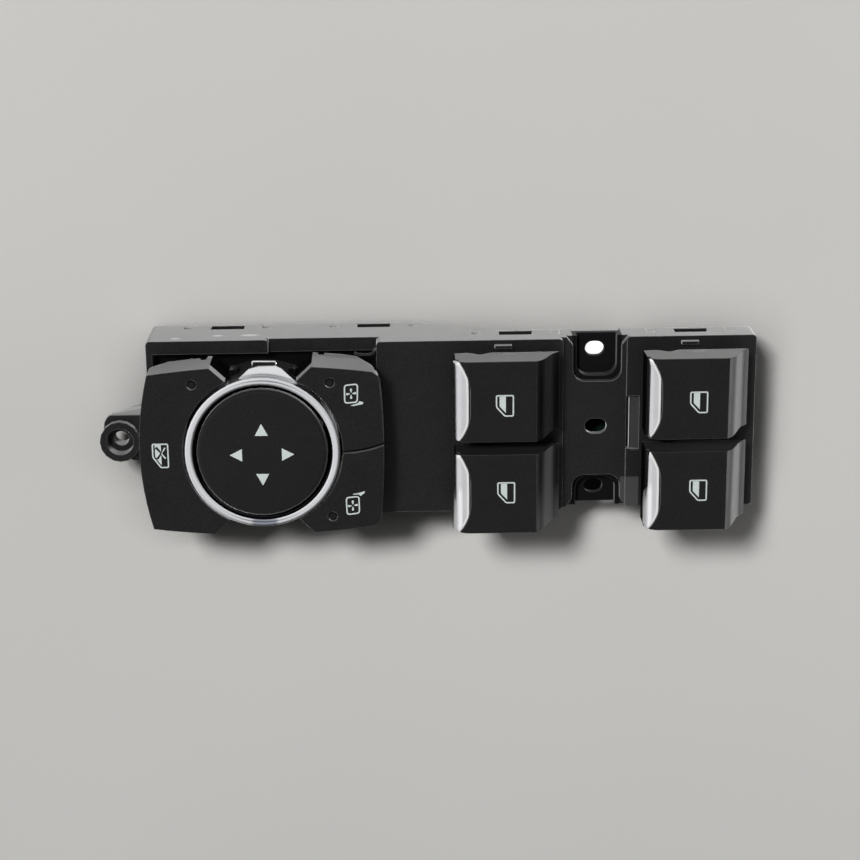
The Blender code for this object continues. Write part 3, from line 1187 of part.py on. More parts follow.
def trim_shape(x, y, inner, outer, growth, overrun):
    """The lip trim or its bed: a band round the nose, cut to a long outline that ends in points."""
    half = PADDLE_WIDTH / 2 - TRIM_INSET
    low = TRIM_LOW_ANGLE + growth * 8
    high = TRIM_HIGH_ANGLE - growth * 8
    band = side(
        [(x + u, z) for u, z in nose(outer, high, low, 8) + nose(inner, low, high, 8)],
        (y - half - overrun, y + half + overrun),
    )
    edge = []
    for i in range(17):
        v = -1 + 2 * i / 16
        edge.append((x + TRIM_END + growth + TRIM_GROWTH * (1 - abs(v) ** 3), y + half * v))
    past = half + overrun + 1
    back = x - NOSE_RADIUS
    lens = plan(
        [(back, y - past), (x + TRIM_END + growth, y - past), *edge, (x + TRIM_END + growth, y + past), (back, y + past)],
        (PADDLE_TOP - 3 * NOSE_RADIUS, PADDLE_TOP + NOSE_RADIUS),
    )
    return settled(boolean(band, "INTERSECT", lens))


def lip_trim(name, x, y):
    body = trim_shape(x, y, NOSE_RADIUS - TRIM_THICKNESS, NOSE_RADIUS, 0.0, 0.0)
    finish(name + "_lip_trim", body, SATIN_CHROME, pivot=(x + PIVOT_STATION, y, PIVOT_LEVEL))


# The assembly, from the underside up

lower_housing()
circuit_board()
connector_header()
for side_name, (paddle_x, paddle_y, _level) in PADDLES.items():
    slide_switch(side_name, paddle_x, paddle_y)
for key_name, (stem_x, stem_y) in KEY_STEMS.items():
    tact_switch(key_name + "_tact_switch", stem_x, stem_y)
for way, (out_x, out_y) in PAD_DIRECTIONS.items():
    tact_switch("mirror_" + way + "_tact_switch", RING_X + out_x * PLUNGER_CIRCLE, RING_Y + out_y * PLUNGER_CIRCLE)
upper_housing()
button_carrier()
mirror_gimbal()
mirror_pad()
mirror_ring_trim()
key("window_lock", lock_key_outline(), LOCK_KEY_BOTTOM, KEY_STEMS["window_lock"])
key("right_mirror", mirror_key_outline(1), MIRROR_KEY_BOTTOM, KEY_STEMS["right_mirror"])
key("left_mirror", mirror_key_outline(-1), MIRROR_KEY_BOTTOM, KEY_STEMS["left_mirror"])
for key_name, stem_place in KEY_STEMS.items():
    light_pipe(key_name, stem_place)
for side_name, (paddle_x, paddle_y, _level) in PADDLES.items():
    paddle(side_name, paddle_x, paddle_y)
    lip_trim(side_name, paddle_x, paddle_y)
for helper in list(CUTTERS.objects):
    bpy.data.objects.remove(helper, do_unlink=True)
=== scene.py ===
"""A driver's door master switch: four window paddles, a mirror pad in a satin ring, and three keys.

The sections follow the switch as it is put together, from the tray up, and end with the table and the lights.
Places are in millimetres until a mesh is made.
"""

import math

import bpy
import numpy as np
from mathutils import Matrix, Vector


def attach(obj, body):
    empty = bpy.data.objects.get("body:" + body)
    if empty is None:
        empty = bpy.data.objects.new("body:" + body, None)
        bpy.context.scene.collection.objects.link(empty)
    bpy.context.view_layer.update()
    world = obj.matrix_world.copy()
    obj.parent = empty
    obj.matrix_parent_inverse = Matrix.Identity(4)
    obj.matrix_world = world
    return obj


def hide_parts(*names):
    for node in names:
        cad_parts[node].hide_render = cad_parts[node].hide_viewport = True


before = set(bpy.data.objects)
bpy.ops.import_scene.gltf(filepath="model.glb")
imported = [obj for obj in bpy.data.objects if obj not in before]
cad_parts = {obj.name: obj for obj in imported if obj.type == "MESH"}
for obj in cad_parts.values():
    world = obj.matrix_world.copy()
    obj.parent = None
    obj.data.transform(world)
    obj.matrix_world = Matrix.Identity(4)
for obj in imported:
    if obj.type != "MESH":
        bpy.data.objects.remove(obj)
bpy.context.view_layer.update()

MM = 0.001


# The lower tray
# The real one is moulded from black glass-filled nylon, with a spark-eroded grain on the outside. It snaps
# up into the skirt of the upper housing on eight latches, and a shroud for the harness plug hangs from it.

class Wire:
    """One output of a shader node, which counts with numbers and other wires as a number does."""

    def __init__(self, tree, socket):
        self.tree = tree
        self.socket = socket

    def node(self, kind, settings=(), sockets=(), output=0):
        """Adds a node: its settings first, a ramp's stops among them, then its sockets by name or number."""
        made = self.tree.nodes.new(kind)
        for name, value in dict(settings).items():
            if name == "stops":
                made.color_ramp.elements.remove(made.color_ramp.elements[0])
                for i, (at, grey) in enumerate(value):
                    stop = made.color_ramp.elements[0] if i == 0 else made.color_ramp.elements.new(at)
                    stop.position = at
                    stop.color = (grey, grey, grey, 1.0)
            else:
                setattr(made, name, value)
        for name, value in dict(sockets).items():
            if isinstance(value, Wire):
                self.tree.links.new(value.socket, made.inputs[name])
            else:
                made.inputs[name].default_value = value
        return Wire(self.tree, made.outputs[output])

    def maths(self, operation, *others, held=False):
        settings = {"operation": operation, "use_clamp": held}
        return self.node("ShaderNodeMath", settings, enumerate((self, *others)))

    def __add__(self, other):
        return self.maths("ADD", other)

    __radd__ = __add__

    def __sub__(self, other):
        return self.maths("SUBTRACT", other)

    def __rsub__(self, other):
        return (self * -1.0).maths("ADD", other)

    def __mul__(self, other):
        return self.maths("MULTIPLY", other)

    __rmul__ = __mul__

    def __truediv__(self, other):
        return self.maths("DIVIDE", other)

    def __pow__(self, other):
        return self.maths("POWER", other)

    def held(self):
        """The same value kept between 0 and 1."""
        return self.maths("ADD", 0.0, held=True)

    def above(self, level, over):
        """0 below a level, 1 past it, with a ramp of the given length between."""
        return ((self - level) / over).held()

    def within(self, low, high, over):
        """1 between two levels, and 0 outside them."""
        return self.above(low, over) * (1 - self.above(high, over))

    def dot(self, other):
        """How far two directions agree: 1 where they are the same, 0 where they are square."""
        return self.node("ShaderNodeVectorMath", {"operation": "DOT_PRODUCT"}, {0: self, 1: other}, output=1)

    def blend(self, low, high):
        """The first colour where this wire is 0, the second where it is 1."""
        sockets = {"Factor": self}
        for place, colour in ((6, low), (7, high)):
            sockets[place] = colour if isinstance(colour, Wire) else (*colour, 1.0)
        return self.node("ShaderNodeMix", {"data_type": "RGBA"}, sockets, output=2)


def new_finish(name):
    """A material: itself, its shader, and a wire with the place on the piece in millimetres."""
    made = bpy.data.materials.new(name)
    made.use_nodes = True
    tree = made.node_tree
    origin = Wire(tree, tree.nodes.new("ShaderNodeTexCoord").outputs["Object"])
    place = origin.node("ShaderNodeVectorMath", {"operation": "SCALE"}, {0: origin, "Scale": 1 / MM})
    return made, tree.nodes["Principled BSDF"], place


def coat(shader, **sockets):
    """Sets or links the shader's sockets, named with an underscore for each space."""
    for name, value in sockets.items():
        socket = shader.inputs[name.replace("_", " ")]
        if isinstance(value, Wire):
            value.tree.links.new(value.socket, socket)
        else:
            socket.default_value = (*value, 1.0) if isinstance(value, tuple) else value


def noise(place, size, detail=2.0):
    """Soft noise from 0 to 1 with blotches about size millimetres across."""
    return place.node("ShaderNodeTexNoise", {}, {"Vector": place, "Scale": 1 / size, "Detail": detail})


def axes(place):
    """The place's three coordinates as wires."""
    parts = place.node("ShaderNodeSeparateXYZ", {}, {0: place})
    return [Wire(place.tree, parts.socket.node.outputs[i]) for i in range(3)]


def rounded_edges(place, radius):
    """The normal rounded over the edges by a radius in millimetres, and a mask that is 1 on those edges."""
    rounded = place.node("ShaderNodeBevel", {"samples": 5}, {"Radius": radius * MM})
    plain = place.node("ShaderNodeNewGeometry", output=1)
    return rounded, ((1 - rounded.dot(plain)) * 4.0).held()


def bumps(height, depth, strength=1.0, normal=None):
    """The normal tilted by heights from 0 to 1, which stand for a depth in millimetres."""
    sockets = {"Strength": strength, "Distance": depth * MM, "Height": height}
    if normal is not None:
        sockets["Normal"] = normal
    return height.node("ShaderNodeBump", {}, sockets)


def grain(place, normal, size, depth):
    """The normal with a fine eroded grain on it, of a size and depth in millimetres."""
    return bumps(noise(place, size, 3.0) + noise(place, size * 3.1, 1.0) * 0.6, depth, normal=normal)


EDGE_ROUND = 0.30
# Grey for the marks: rubbed wear, and painted highlights where some faces catch the light.
RUBBED_AND_LIT_GREY = (0.42, 0.42, 0.41)


def moulded_black(
    name, deep, pale, roughness, sheen, grain_size, grain_depth, edge, marks=None, painted_shade=None, reach=0.35,
):
    """A black moulding: mottled from deep to pale, with a fine grain, paler edges that stand for rubbed wear
    and for a painted highlight, and a sheen where it is seen at a slant, which reaches further the higher
    that value is. Marks are painted grey, for rubbed wear and for painted highlights, and places under the
    painted-shade mask are a flat dark with no sheen, a painted shade."""
    made, shader, place = new_finish(name)
    rounded, edges = rounded_edges(place, EDGE_ROUND)
    mottle = noise(place, 9.0) * 0.4 + noise(place, 0.4, 2.0).above(0.36, 0.28) * 0.6
    colour = mottle.blend(deep, pale)
    # The paler edges stand both for rubbed wear and for a painted highlight where the edges catch the light.
    colour = (edges * (0.35 + 0.65 * noise(place, 3.0))).blend(colour, edge)
    shine = roughness + (noise(place, 5.0, 3.0) - 0.5) * 0.12 - edges * 0.08
    if marks:
        marked = marks(place)
        colour = marked.blend(colour, RUBBED_AND_LIT_GREY)
        shine = shine + marked * 0.2
    coat(
        shader, Base_Color=colour, Roughness=shine, Normal=grain(place, rounded, grain_size, grain_depth),
        Sheen_Weight=sheen, Sheen_Roughness=reach, Specular_IOR_Level=0.18,
    )
    # Painted shade: where the mask is 1, the moulding turns into a flat dark diffuse with no sheen.
    if painted_shade:
        flat = made.node_tree.nodes.new("ShaderNodeBsdfDiffuse")
        flat.inputs["Color"].default_value = (*deep, 1.0)
        share = painted_shade(place)
        both = share.node("ShaderNodeMixShader", {}, {0: share, 1: Wire(place.tree, shader.outputs[0])})
        place.tree.links.new(flat.outputs[0], both.socket.node.inputs[2])
        place.tree.links.new(both.socket, place.tree.nodes["Material Output"].inputs["Surface"])
    return made


RUBS = ((-72.4, 20.8, 1.5, 0.9), (-60.3, 18.0, 1.6, 1.0), (-50.9, 17.9, 2.9, 1.2))


def scuffs_and_painted_highlights(place):
    """The rubs on the rear wall, each with its x, height and half sizes, and painted highlights: a pale line
    down the rim's step, and paler faces on the tail, the groove beside it and the ear's rib, where light
    falls on them."""
    x, y, z = axes(place)
    total = 0.0
    for at_x, at_z, long, high in RUBS:
        away = ((x - at_x) / long) ** 2.0 + ((z - at_z) / high) ** 2.0
        total = (1.6 - away * 1.4 + (noise(place, 0.5) - 0.5) * 1.6).held() + total
    rubs = (total * y.above(26.3, 0.1)).held()
    # Painted highlights: a pale line down the rim's step, and paler faces on the groove, the tail and the
    # ear's rib.
    step = x.within(-45.5, -45.2, 0.08) * y.above(22.8, 0.1) * z.above(20.0, 0.5) * 0.45
    groove = x.within(59.7, 62.3, 0.1) * y.within(-7.9, 8.2, 0.1) * z.above(23.5, 0.2) * 0.05
    tail = x.within(56.9, 62.3, 0.2) * (1 - y.above(-16.0, 0.2)) * z.above(26.2, 0.1) * 0.10
    rib = (1 - x.above(-81.2, 0.2)) * y.above(3.0, 0.5) * z.above(15.0, 1.0) * 0.6
    return (rubs + step + groove + tail + rib).held()


def pocket_painted_shade(place):
    """A painted shade: 0.8 inside the two screw pockets of the saddle, where little light comes."""
    x, y, z = axes(place)
    rear_or_front = y.above(13.1, 0.1) + (1 - y.above(-15.0, 0.1))
    return x.within(42.7, 57.1, 0.1) * rear_or_front * (1 - z.above(26.2, 0.1)) * 0.8


HOUSING = moulded_black(
    "grained_black_housing", deep=(0.0045, 0.0043, 0.0048), pale=(0.017, 0.0166, 0.0175), roughness=0.43,
    sheen=1.0, grain_size=0.35, grain_depth=0.012, edge=(0.26, 0.26, 0.26), marks=scuffs_and_painted_highlights, painted_shade=pocket_painted_shade,
)


def dress(finish, *nodes):
    """Gives solids that stay as they are a finish of their own."""
    for node in nodes:
        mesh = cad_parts[node].data
        mesh.materials.clear()
        mesh.materials.append(finish)


def new_piece(name, points, faces, finish, body, slot, smooth=35.0):
    """A piece from an array of places in millimetres and its faces, shaded smooth over its gentle edges."""
    mesh = bpy.data.meshes.new(name)
    mesh.from_pydata((np.asarray(points) * MM).tolist(), [], [list(map(int, face)) for face in faces])
    mesh.materials.append(finish)
    mesh.shade_smooth()
    mesh.set_sharp_from_angle(angle=math.radians(smooth))
    piece = bpy.data.objects.new(name, mesh)
    bpy.context.scene.collection.objects.link(piece)
    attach(piece, body)
    return piece


def surfaced(node, finish, body, slot, smooth=32.0):
    """A solid's own shape as one smooth skin: its loose triangles are joined where corners agree to 1 um."""
    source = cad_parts[node].data
    corners = np.empty(len(source.vertices) * 3)
    source.vertices.foreach_get("co", corners)
    loops = np.empty(len(source.loops), np.int64)
    source.loops.foreach_get("vertex_index", loops)
    grid, index = np.unique(np.round(corners.reshape(-1, 3) / MM, 3), axis=0, return_inverse=True)
    faces = index.reshape(-1)[loops].reshape(-1, 3)
    whole = (faces[:, 0] != faces[:, 1]) & (faces[:, 1] != faces[:, 2]) & (faces[:, 0] != faces[:, 2])
    piece = new_piece(node + "_surface", grid, faces[whole], finish, body, slot, smooth)
    flats = piece.modifiers.new("flats stay flat", "WEIGHTED_NORMAL")
    flats.keep_sharp = True
    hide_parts(node)
    return piece


surfaced("lower_housing", HOUSING, "panel", "housing_black")


# The circuit board
# A glass-epoxy laminate with a very dark green solder mask and bare tinned lands. It stands on eight posts of
# the tray.

def board_finish():
    """Wavy tracks 1.8 mm apart under a green mask, round tinned lands, and the bare laminate on its sides."""
    made, shader, place = new_finish("dark_solder_mask")
    x, y, z = axes(place)
    lane = (y + (noise(place, 14.0, 0.0) - 0.5) * 9.0).maths("PINGPONG", 0.9)
    track = lane.within(0.25, 0.6, 0.05) * noise(place, 6.0, 0.0).above(0.46, 0.02)
    cells = {"Vector": place, "Scale": 0.22, "Randomness": 0.7}
    tinned = 1 - place.node("ShaderNodeTexVoronoi", {"feature": "F1"}, cells).above(0.16, 0.01)
    mask = track.blend((0.006, 0.016, 0.010), (0.014, 0.036, 0.022))
    side = z.within(11.3, 12.7, 0.02)
    colour = (tinned * (1 - side)).blend(side.blend(mask, (0.35, 0.32, 0.18)), (0.6, 0.6, 0.58))
    coat(
        shader, Base_Color=colour, Roughness=0.38 - tinned * 0.1 + noise(place, 2.0) * 0.1,
        Metallic=tinned * (1 - side), Normal=bumps(track + tinned, 0.04),
    )
    return made


dress(board_finish(), "circuit_board")


# The connector header
# A black moulded block under the board, with fourteen square tinned pins that point down into the shroud.

PIN_TOP = 8.85


def header_finish():
    """Black above the level where the pins come out, and drawn tin with lines along the pins below it."""
    made, shader, place = new_finish("header_with_tinned_pins")
    x, y, z = axes(place)
    pin = 1 - z.above(PIN_TOP, 0.02)
    stretched = place.node("ShaderNodeVectorMath", {"operation": "MULTIPLY"}, {0: place, 1: (4.0, 4.0, 0.4)})
    drawn = noise(stretched, 1.0)
    block = noise(place, 2.0).blend((0.012, 0.012, 0.012), (0.02, 0.02, 0.02))
    colour = pin.blend(block, (0.66, 0.62, 0.52))
    coat(shader, Base_Color=colour, Metallic=pin, Roughness=0.5 - pin * 0.25 + drawn * 0.1)
    return made


dress(header_finish(), "connector_header")


# The switches on the board
# Seven tact switches stand under the keys and the pad, each a dark base with a pressed cover and a grey
# plunger. Four slide switches, one for each paddle, have a grey base and a white slider with a fork.

PAD_WAYS = ("right", "up", "left", "down")
KEYS = ("window_lock", "right_mirror", "left_mirror")
PADDLES = {
    "front_right": (7.95, 13.03), "front_left": (7.95, -14.12),
    "rear_right": (62.05, 13.03), "rear_left": (62.05, -14.12),
}


def switch_finish(name, low, high, metal_from, metal_to):
    """A moulded grey, with a pressed steel cover between two levels."""
    made, shader, place = new_finish(name)
    x, y, z = axes(place)
    cover = z.within(metal_from, metal_to, 0.02)
    colour = cover.blend(noise(place, 1.5).blend(low, high), (0.55, 0.55, 0.53))
    coat(
        shader, Base_Color=colour, Metallic=cover, Roughness=0.5 - cover * 0.15 + noise(place, 0.8) * 0.08,
        Normal=grain(place, rounded_edges(place, 0.15)[0], 0.3, 0.008),
    )
    return made


TACT = switch_finish("tact_switch_grey", (0.05, 0.05, 0.052), (0.08, 0.08, 0.082), 14.6, 15.52)
BASE = switch_finish("slide_switch_grey", (0.2, 0.2, 0.205), (0.27, 0.27, 0.275), 0.0, 0.0)
dress(TACT, *(way + "_tact_switch" for way in KEYS), *("mirror_" + way + "_tact_switch" for way in PAD_WAYS))
dress(BASE, *(paddle + "_switch_base" for paddle in PADDLES))


def nylon_finish():
    """Milky natural nylon that lets a little light in."""
    made, shader, place = new_finish("natural_nylon")
    cloud = noise(place, 2.5, 3.0)
    coat(
        shader, Base_Color=cloud.blend((0.62, 0.61, 0.56), (0.74, 0.73, 0.69)), Roughness=0.42 + cloud * 0.15,
        Subsurface_Weight=0.15, Subsurface_Scale=0.001,
        Normal=grain(place, rounded_edges(place, 0.12)[0], 0.4, 0.006),
    )
    return made


NYLON = nylon_finish()
dress(NYLON, *(paddle + "_contact_slider" for paddle in PADDLES))


# The upper housing
# One black moulding: the well for the keys, the plate, the saddle with its two screw pockets, the tail, the
# mounting ear, and four towers with stub pins for the paddles. A small lip curls up at the plate's corner.

surfaced("upper_housing", HOUSING, "panel", "housing_black")


def tube(path, radius, sides=8):
    """A round bar along an open path, closed at both ends: at each point of the path, a ring of corners at
    centre + radius * (cos turn * side + sin turn * over), square to the way ahead."""
    line = np.array(path, float)
    ahead = np.gradient(line, axis=0)
    ahead /= np.linalg.norm(ahead, axis=1, keepdims=True)
    side = np.cross(ahead, (0.0, 0.0, 1.0))
    side /= np.linalg.norm(side, axis=1, keepdims=True)
    over = np.cross(side, ahead)
    turn = np.linspace(0, 2 * math.pi, sides, endpoint=False)[None, :, None]
    rings = line[:, None] + radius * (np.cos(turn) * side[:, None] + np.sin(turn) * over[:, None])
    index = np.arange(len(line) * sides).reshape(len(line), sides)
    after = np.roll(index, -1, axis=1)
    quads = np.stack([index[:-1], after[:-1], after[1:], index[1:]], axis=2).reshape(-1, 4)
    return rings.reshape(-1, 3), [*quads[:, ::-1].tolist(), index[0].tolist(), index[-1, ::-1].tolist()]


CURL = [
    (-20.4, 22.75, 25.0), (-19.9, 22.35, 25.1), (-19.2, 22.2, 25.2), (-17.0, 22.1, 25.4),
    (-15.9, 22.25, 25.6), (-15.1, 22.7, 25.9), (-14.6, 23.4, 26.4), (-14.4, 24.2, 27.1),
]
new_piece("plate_corner_lip", *tube(CURL, 0.35), HOUSING, "panel", "housing_black", 60.0)


# The button carrier
# A black plate in the well with a round collar, guides for the three key stems, and two posts for the gimbal.

def carrier_marks(place):
    """Two paler tabs beside the lobe, and a painted highlight: a pale streak on the collar behind it."""
    x, y, z = axes(place)
    tabs = (x.within(-57.0, -55.3, 0.1) + x.within(-37.8, -36.1, 0.1)).held()
    tabs = tabs * y.within(19.3, 20.7, 0.1) * z.above(27.0, 1.0) * 0.14
    # The streak is a painted highlight on the collar.
    streak = x.within(-53.6, -51.3, 0.2) * y.within(21.9, 23.7, 0.2) * 0.3
    return (tabs + streak).held()


# Darker than the housing and with little sheen: partly a glossier black plastic, partly a painted shade of
# the dark well.
WELL = moulded_black(
    "smooth_black_carrier_painted_shade", deep=(0.0022, 0.0022, 0.0026), pale=(0.0045, 0.0045, 0.0052), roughness=0.40,
    sheen=0.06, grain_size=0.5, grain_depth=0.004, edge=(0.03, 0.03, 0.034), marks=carrier_marks,
)
surfaced("button_carrier", WELL, "panel", "housing_black")


# The gimbal
# A natural nylon ring, with two pins out to the posts and two pins in to the pad's stem.

surfaced("mirror_gimbal", NYLON, "gimbal", "white_nylon")


# The mirror pad
# A black disc with a shallow dome and a rolled rim, painted a soft black, with four printed arrowheads. Its
# stem sits in the gimbal, and four plungers reach down to the tact switches.

SOFT = moulded_black(
    "soft_black_paint", deep=(0.0045, 0.0042, 0.0046), pale=(0.0135, 0.0130, 0.0136), roughness=0.47,
    sheen=0.7, grain_size=0.22, grain_depth=0.006, edge=(0.06, 0.06, 0.06),
)
surfaced("mirror_pad", SOFT, "pad", "button_black")


def print_finish():
    """Pale green-white ink with a fine speckle."""
    made, shader, place = new_finish("pale_print")
    speckle = noise(place, 0.25, 3.0)
    colour = speckle.above(0.35, 0.3).blend((0.52, 0.575, 0.56), (0.64, 0.70, 0.685))
    coat(shader, Base_Color=colour, Roughness=0.5 + speckle * 0.1, Specular_IOR_Level=0.1)
    return made


PRINT = print_finish()


def patches(outlines, low, high):
    """Flat printed patches, each outline raised from one level to another, with upright sides. A level is a
    number or a height worked out from the places."""
    points, faces = [], []
    for outline in outlines:
        flat = np.array(outline, float)
        ahead = np.roll(flat, -1, axis=0)
        if (flat[:, 0] * ahead[:, 1] - flat[:, 1] * ahead[:, 0]).sum() < 0:
            flat = flat[::-1]
        start, count = sum(map(len, points)), len(flat)
        ring = np.arange(count)
        after = np.roll(ring, -1)
        for level in (low, high):
            heights = level(flat) if callable(level) else np.full(count, level)
            points.append(np.column_stack([flat, heights]))
        faces += [(start + ring[::-1]).tolist(), (start + count + ring).tolist()]
        faces += (start + np.column_stack([ring, after, after + count, ring + count])).tolist()
    return np.vstack(points), faces


def strokes(paths, width, low, high):
    """Printed lines: a flat band of one width carried along each closed path. At a corner the mitre is
    width * m / (m * m), where m is the sum of the two sides' normals."""
    points, faces = [], []
    for path in paths:
        line = np.array(path, float)
        ahead = np.roll(line, -1, axis=0) - line
        ahead /= np.linalg.norm(ahead, axis=1, keepdims=True)
        side = np.column_stack([-ahead[:, 1], ahead[:, 0]])
        mitre = side + np.roll(side, 1, axis=0)
        mitre *= (width / (mitre ** 2).sum(axis=1))[:, None]
        start, count = sum(map(len, points)), len(line)
        points += [
            np.column_stack([line + mitre * turn, np.full(count, level)])
            for turn, level in ((1, low), (-1, low), (-1, high), (1, high))
        ]
        ring = np.arange(count)
        after = np.roll(ring, -1)
        faces += [
            quad for i in range(4)
            for quad in (start + np.column_stack([
                ring + i * count, after + i * count, after + (i + 1) % 4 * count, ring + (i + 1) % 4 * count,
            ])).tolist()
        ]
    return np.vstack(points), faces


def together(*meshes):
    """Several meshes as one, each one's faces moved on by the points before it."""
    points, faces = [], []
    for mesh_points, mesh_faces in meshes:
        start = sum(map(len, points))
        faces += [[start + i for i in face] for face in mesh_faces]
        points.append(mesh_points)
    return np.vstack(points), faces


PAD_CENTRE = np.array((-46.85, -1.925))
PAD_CROWN = 44.4
PAD_DROP = 0.93
PAD_REACH = 17.25
PRINT_PROUD = 0.035
ARROW_FOOT = 5.65
ARROW_TIP = 9.15
ARROW_HALF = 1.85


def pad_dome(flat):
    """The pad's face: its crown, less a drop that grows with the square of the distance from the centre."""
    away = np.linalg.norm(flat - PAD_CENTRE, axis=1)
    return PAD_CROWN - PAD_DROP * (away / PAD_REACH) ** 2


arrowheads = []
for quarter in range(4):
    turn = math.radians(90 * quarter)
    out = np.array((math.cos(turn), math.sin(turn)))
    across = np.array((-out[1], out[0]))
    foot = PAD_CENTRE + out * ARROW_FOOT
    tip = PAD_CENTRE + out * ARROW_TIP
    arrowheads.append([foot - across * ARROW_HALF, tip, foot + across * ARROW_HALF])
arrow_print = patches(
    arrowheads, low=lambda flat: pad_dome(flat) - 0.1, high=lambda flat: pad_dome(flat) + PRINT_PROUD,
)
new_piece("pad_arrowheads", *arrow_print, PRINT, "pad", "button_black")


# The ring trim
# A plastic cap with satin chrome plating, pushed over the collar. A lobe at its back fills the gap between
# the keys, and a small wire clip stands behind the lobe.

def chrome_finish(name, dark, light, shade=None):
    """Satin chrome from dark to light, with a fine tooth: by a mask of its own, which paints reflections and
    highlights on it, or else by a soft haze.
    """
    made, shader, place = new_finish(name)
    haze = noise(place, 6.0, 3.0)
    fine = noise(place, 0.3, 2.0)
    coat(
        shader, Base_Color=(shade(place) if shade else haze).blend(dark, light), Metallic=1.0,
        Roughness=0.17 + haze * 0.08 + fine * 0.04,
        Normal=bumps(fine, 0.004, 0.5, rounded_edges(place, 0.2)[0]),
    )
    return made


RING_RADIUS = 22.15


def ring_painted_reflection(place):
    """A painted reflection: 0 where the front of the band is painted with the dark of the room, about 0.75 on
    the rest of it, and 1 on the lobe, which is painted brighter."""
    x, y, z = axes(place)
    away = ((x - PAD_CENTRE[0]) ** 2.0 + (y - PAD_CENTRE[1]) ** 2.0) ** 0.5
    lobe = away.above(RING_RADIUS, 0.15) * (1 - z.above(40.6, 0.2))
    front = x.within(-51.0, -43.8, 1.2) * (1 - y.above(-21.9, 0.6))
    return (0.74 + lobe * 0.26 - front * 0.74 + noise(place, 6.0, 3.0) * 0.06).held()


# The ring's colour is a painted reflection: dark across the front of the band, brighter on the lobe.
RING_CHROME = chrome_finish("satin_chrome_ring", (0.34, 0.36, 0.42), (0.98, 0.985, 1.0), ring_painted_reflection)
surfaced("mirror_ring_trim", RING_CHROME, "panel", "satin_chrome")
CLIP = [
    (-49.13, 22.69, 38.0), (-49.11, 23.6, 38.0), (-48.9, 23.83, 38.0),
    (-42.7, 23.72, 38.0), (-42.47, 23.5, 38.0), (-42.49, 22.58, 38.0),
]
new_piece("ring_trim_clip", *tube(CLIP, 0.22), RING_CHROME, "panel", "satin_chrome", 60.0)


# The three keys
# Black shells with soft black paint, open below, each on one stem in a guide of the carrier. The left one
# locks the rear windows, the two on the right choose which mirror the pad moves.

def key_shadows(place):
    """A painted shade: 1 low on the two slanted walls beside the ring, which stand in the dark of the well,
    and along the seam between the two mirror keys, which bends a little to the rear."""
    x, y, z = axes(place)
    facing = place.node("ShaderNodeNewGeometry", output=1)
    slanted = facing.dot((0.7, 0.7, 0.0)).above(0.9, 0.05) + facing.dot((-0.7, 0.7, 0.0)).above(0.9, 0.05)
    slants = slanted.held() * (1 - z.above(36.6, 0.15))
    off = (y + 2.57 - (x + 25.0) ** 2.0 * 0.0147).maths("ABSOLUTE")
    seam = (1 - off.above(0.3, 0.25)) * x.above(-27.0, 0.1)
    return (slants + seam).held()


KEY_PAINT = moulded_black(
    "soft_black_key_paint", deep=(0.0045, 0.0042, 0.0046), pale=(0.0145, 0.0140, 0.0146), roughness=0.47,
    sheen=1.0, grain_size=0.22, grain_depth=0.006, edge=(0.2, 0.2, 0.2), painted_shade=key_shadows, reach=0.31,
)
for key in KEYS:
    surfaced(key + "_button", KEY_PAINT, key + "_key", "button_black")


LENSES = ((-66.35, 17.975), (-27.35, 17.975), (-27.35, -21.825))


def smoke_finish():
    """Dark glass with a black rim, drawn round the middle of whichever lens the place is on: a painted shade
    of the gap round the lens.
    """
    made, shader, place = new_finish("smoke_lens")
    x, y, z = axes(place)
    depth = noise(place, 0.5)
    groove_shade = 0.0
    for at_x, at_y in LENSES:
        # A painted shade of the gap round each lens.
        groove_shade = ((x - at_x) ** 2.0 + (y - at_y) ** 2.0).within(0.7, 3.0, 0.25) + groove_shade
    coat(
        shader, Base_Color=groove_shade.held().blend((0.008, 0.008, 0.008), (0.0005, 0.0005, 0.0005)),
        Roughness=0.45 + depth * 0.1, Specular_IOR_Level=0.16,
    )
    return made


dress(smoke_finish(), *(key + "_light_pipe" for key in KEYS))


def rounded_path(corners, radius, steps=4):
    """A closed path past the corners, each rounded by corner + before * (1 - t)^2 + after * t^2, where before
    and after reach from the corner to its neighbours by one radius and t goes from 0 to 1."""
    corner = np.array(corners, float)
    before = np.roll(corner, 1, axis=0) - corner
    after = np.roll(corner, -1, axis=0) - corner
    before *= (radius / np.linalg.norm(before, axis=1))[:, None]
    after *= (radius / np.linalg.norm(after, axis=1))[:, None]
    share = np.linspace(0, 1, steps + 1)[None, :, None]
    bend = corner[:, None] + before[:, None] * (1 - share) ** 2 + after[:, None] * share ** 2
    return bend.reshape(-1, 2)


def in_box(box, shares):
    """Places given as shares of a box (left, foot, right, top), in millimetres."""
    left, foot, right, top = box
    return np.array(shares, float) * (right - left, top - foot) + (left, foot)


PRINT_LINE = 0.40
WINDOW_OUTLINE = [(0.04, 0.965), (0.04, 0.45), (0.50, 0.035), (0.96, 0.035), (0.96, 0.965)]
WINDOW_GLASS = [(0.205, 0.95), (0.205, 0.48), (0.55, 0.175), (0.55, 0.95)]


def window_print(box, level, glass=(WINDOW_GLASS,)):
    """A door window: an outline with one corner cut off and its glass half down."""
    low, top = level - 0.05, level + PRINT_PROUD
    outline = rounded_path(in_box(box, WINDOW_OUTLINE), 0.42)
    panes = [in_box(box, part) for part in glass]
    return together(strokes([outline], PRINT_LINE, low, top), patches(panes, low, top))


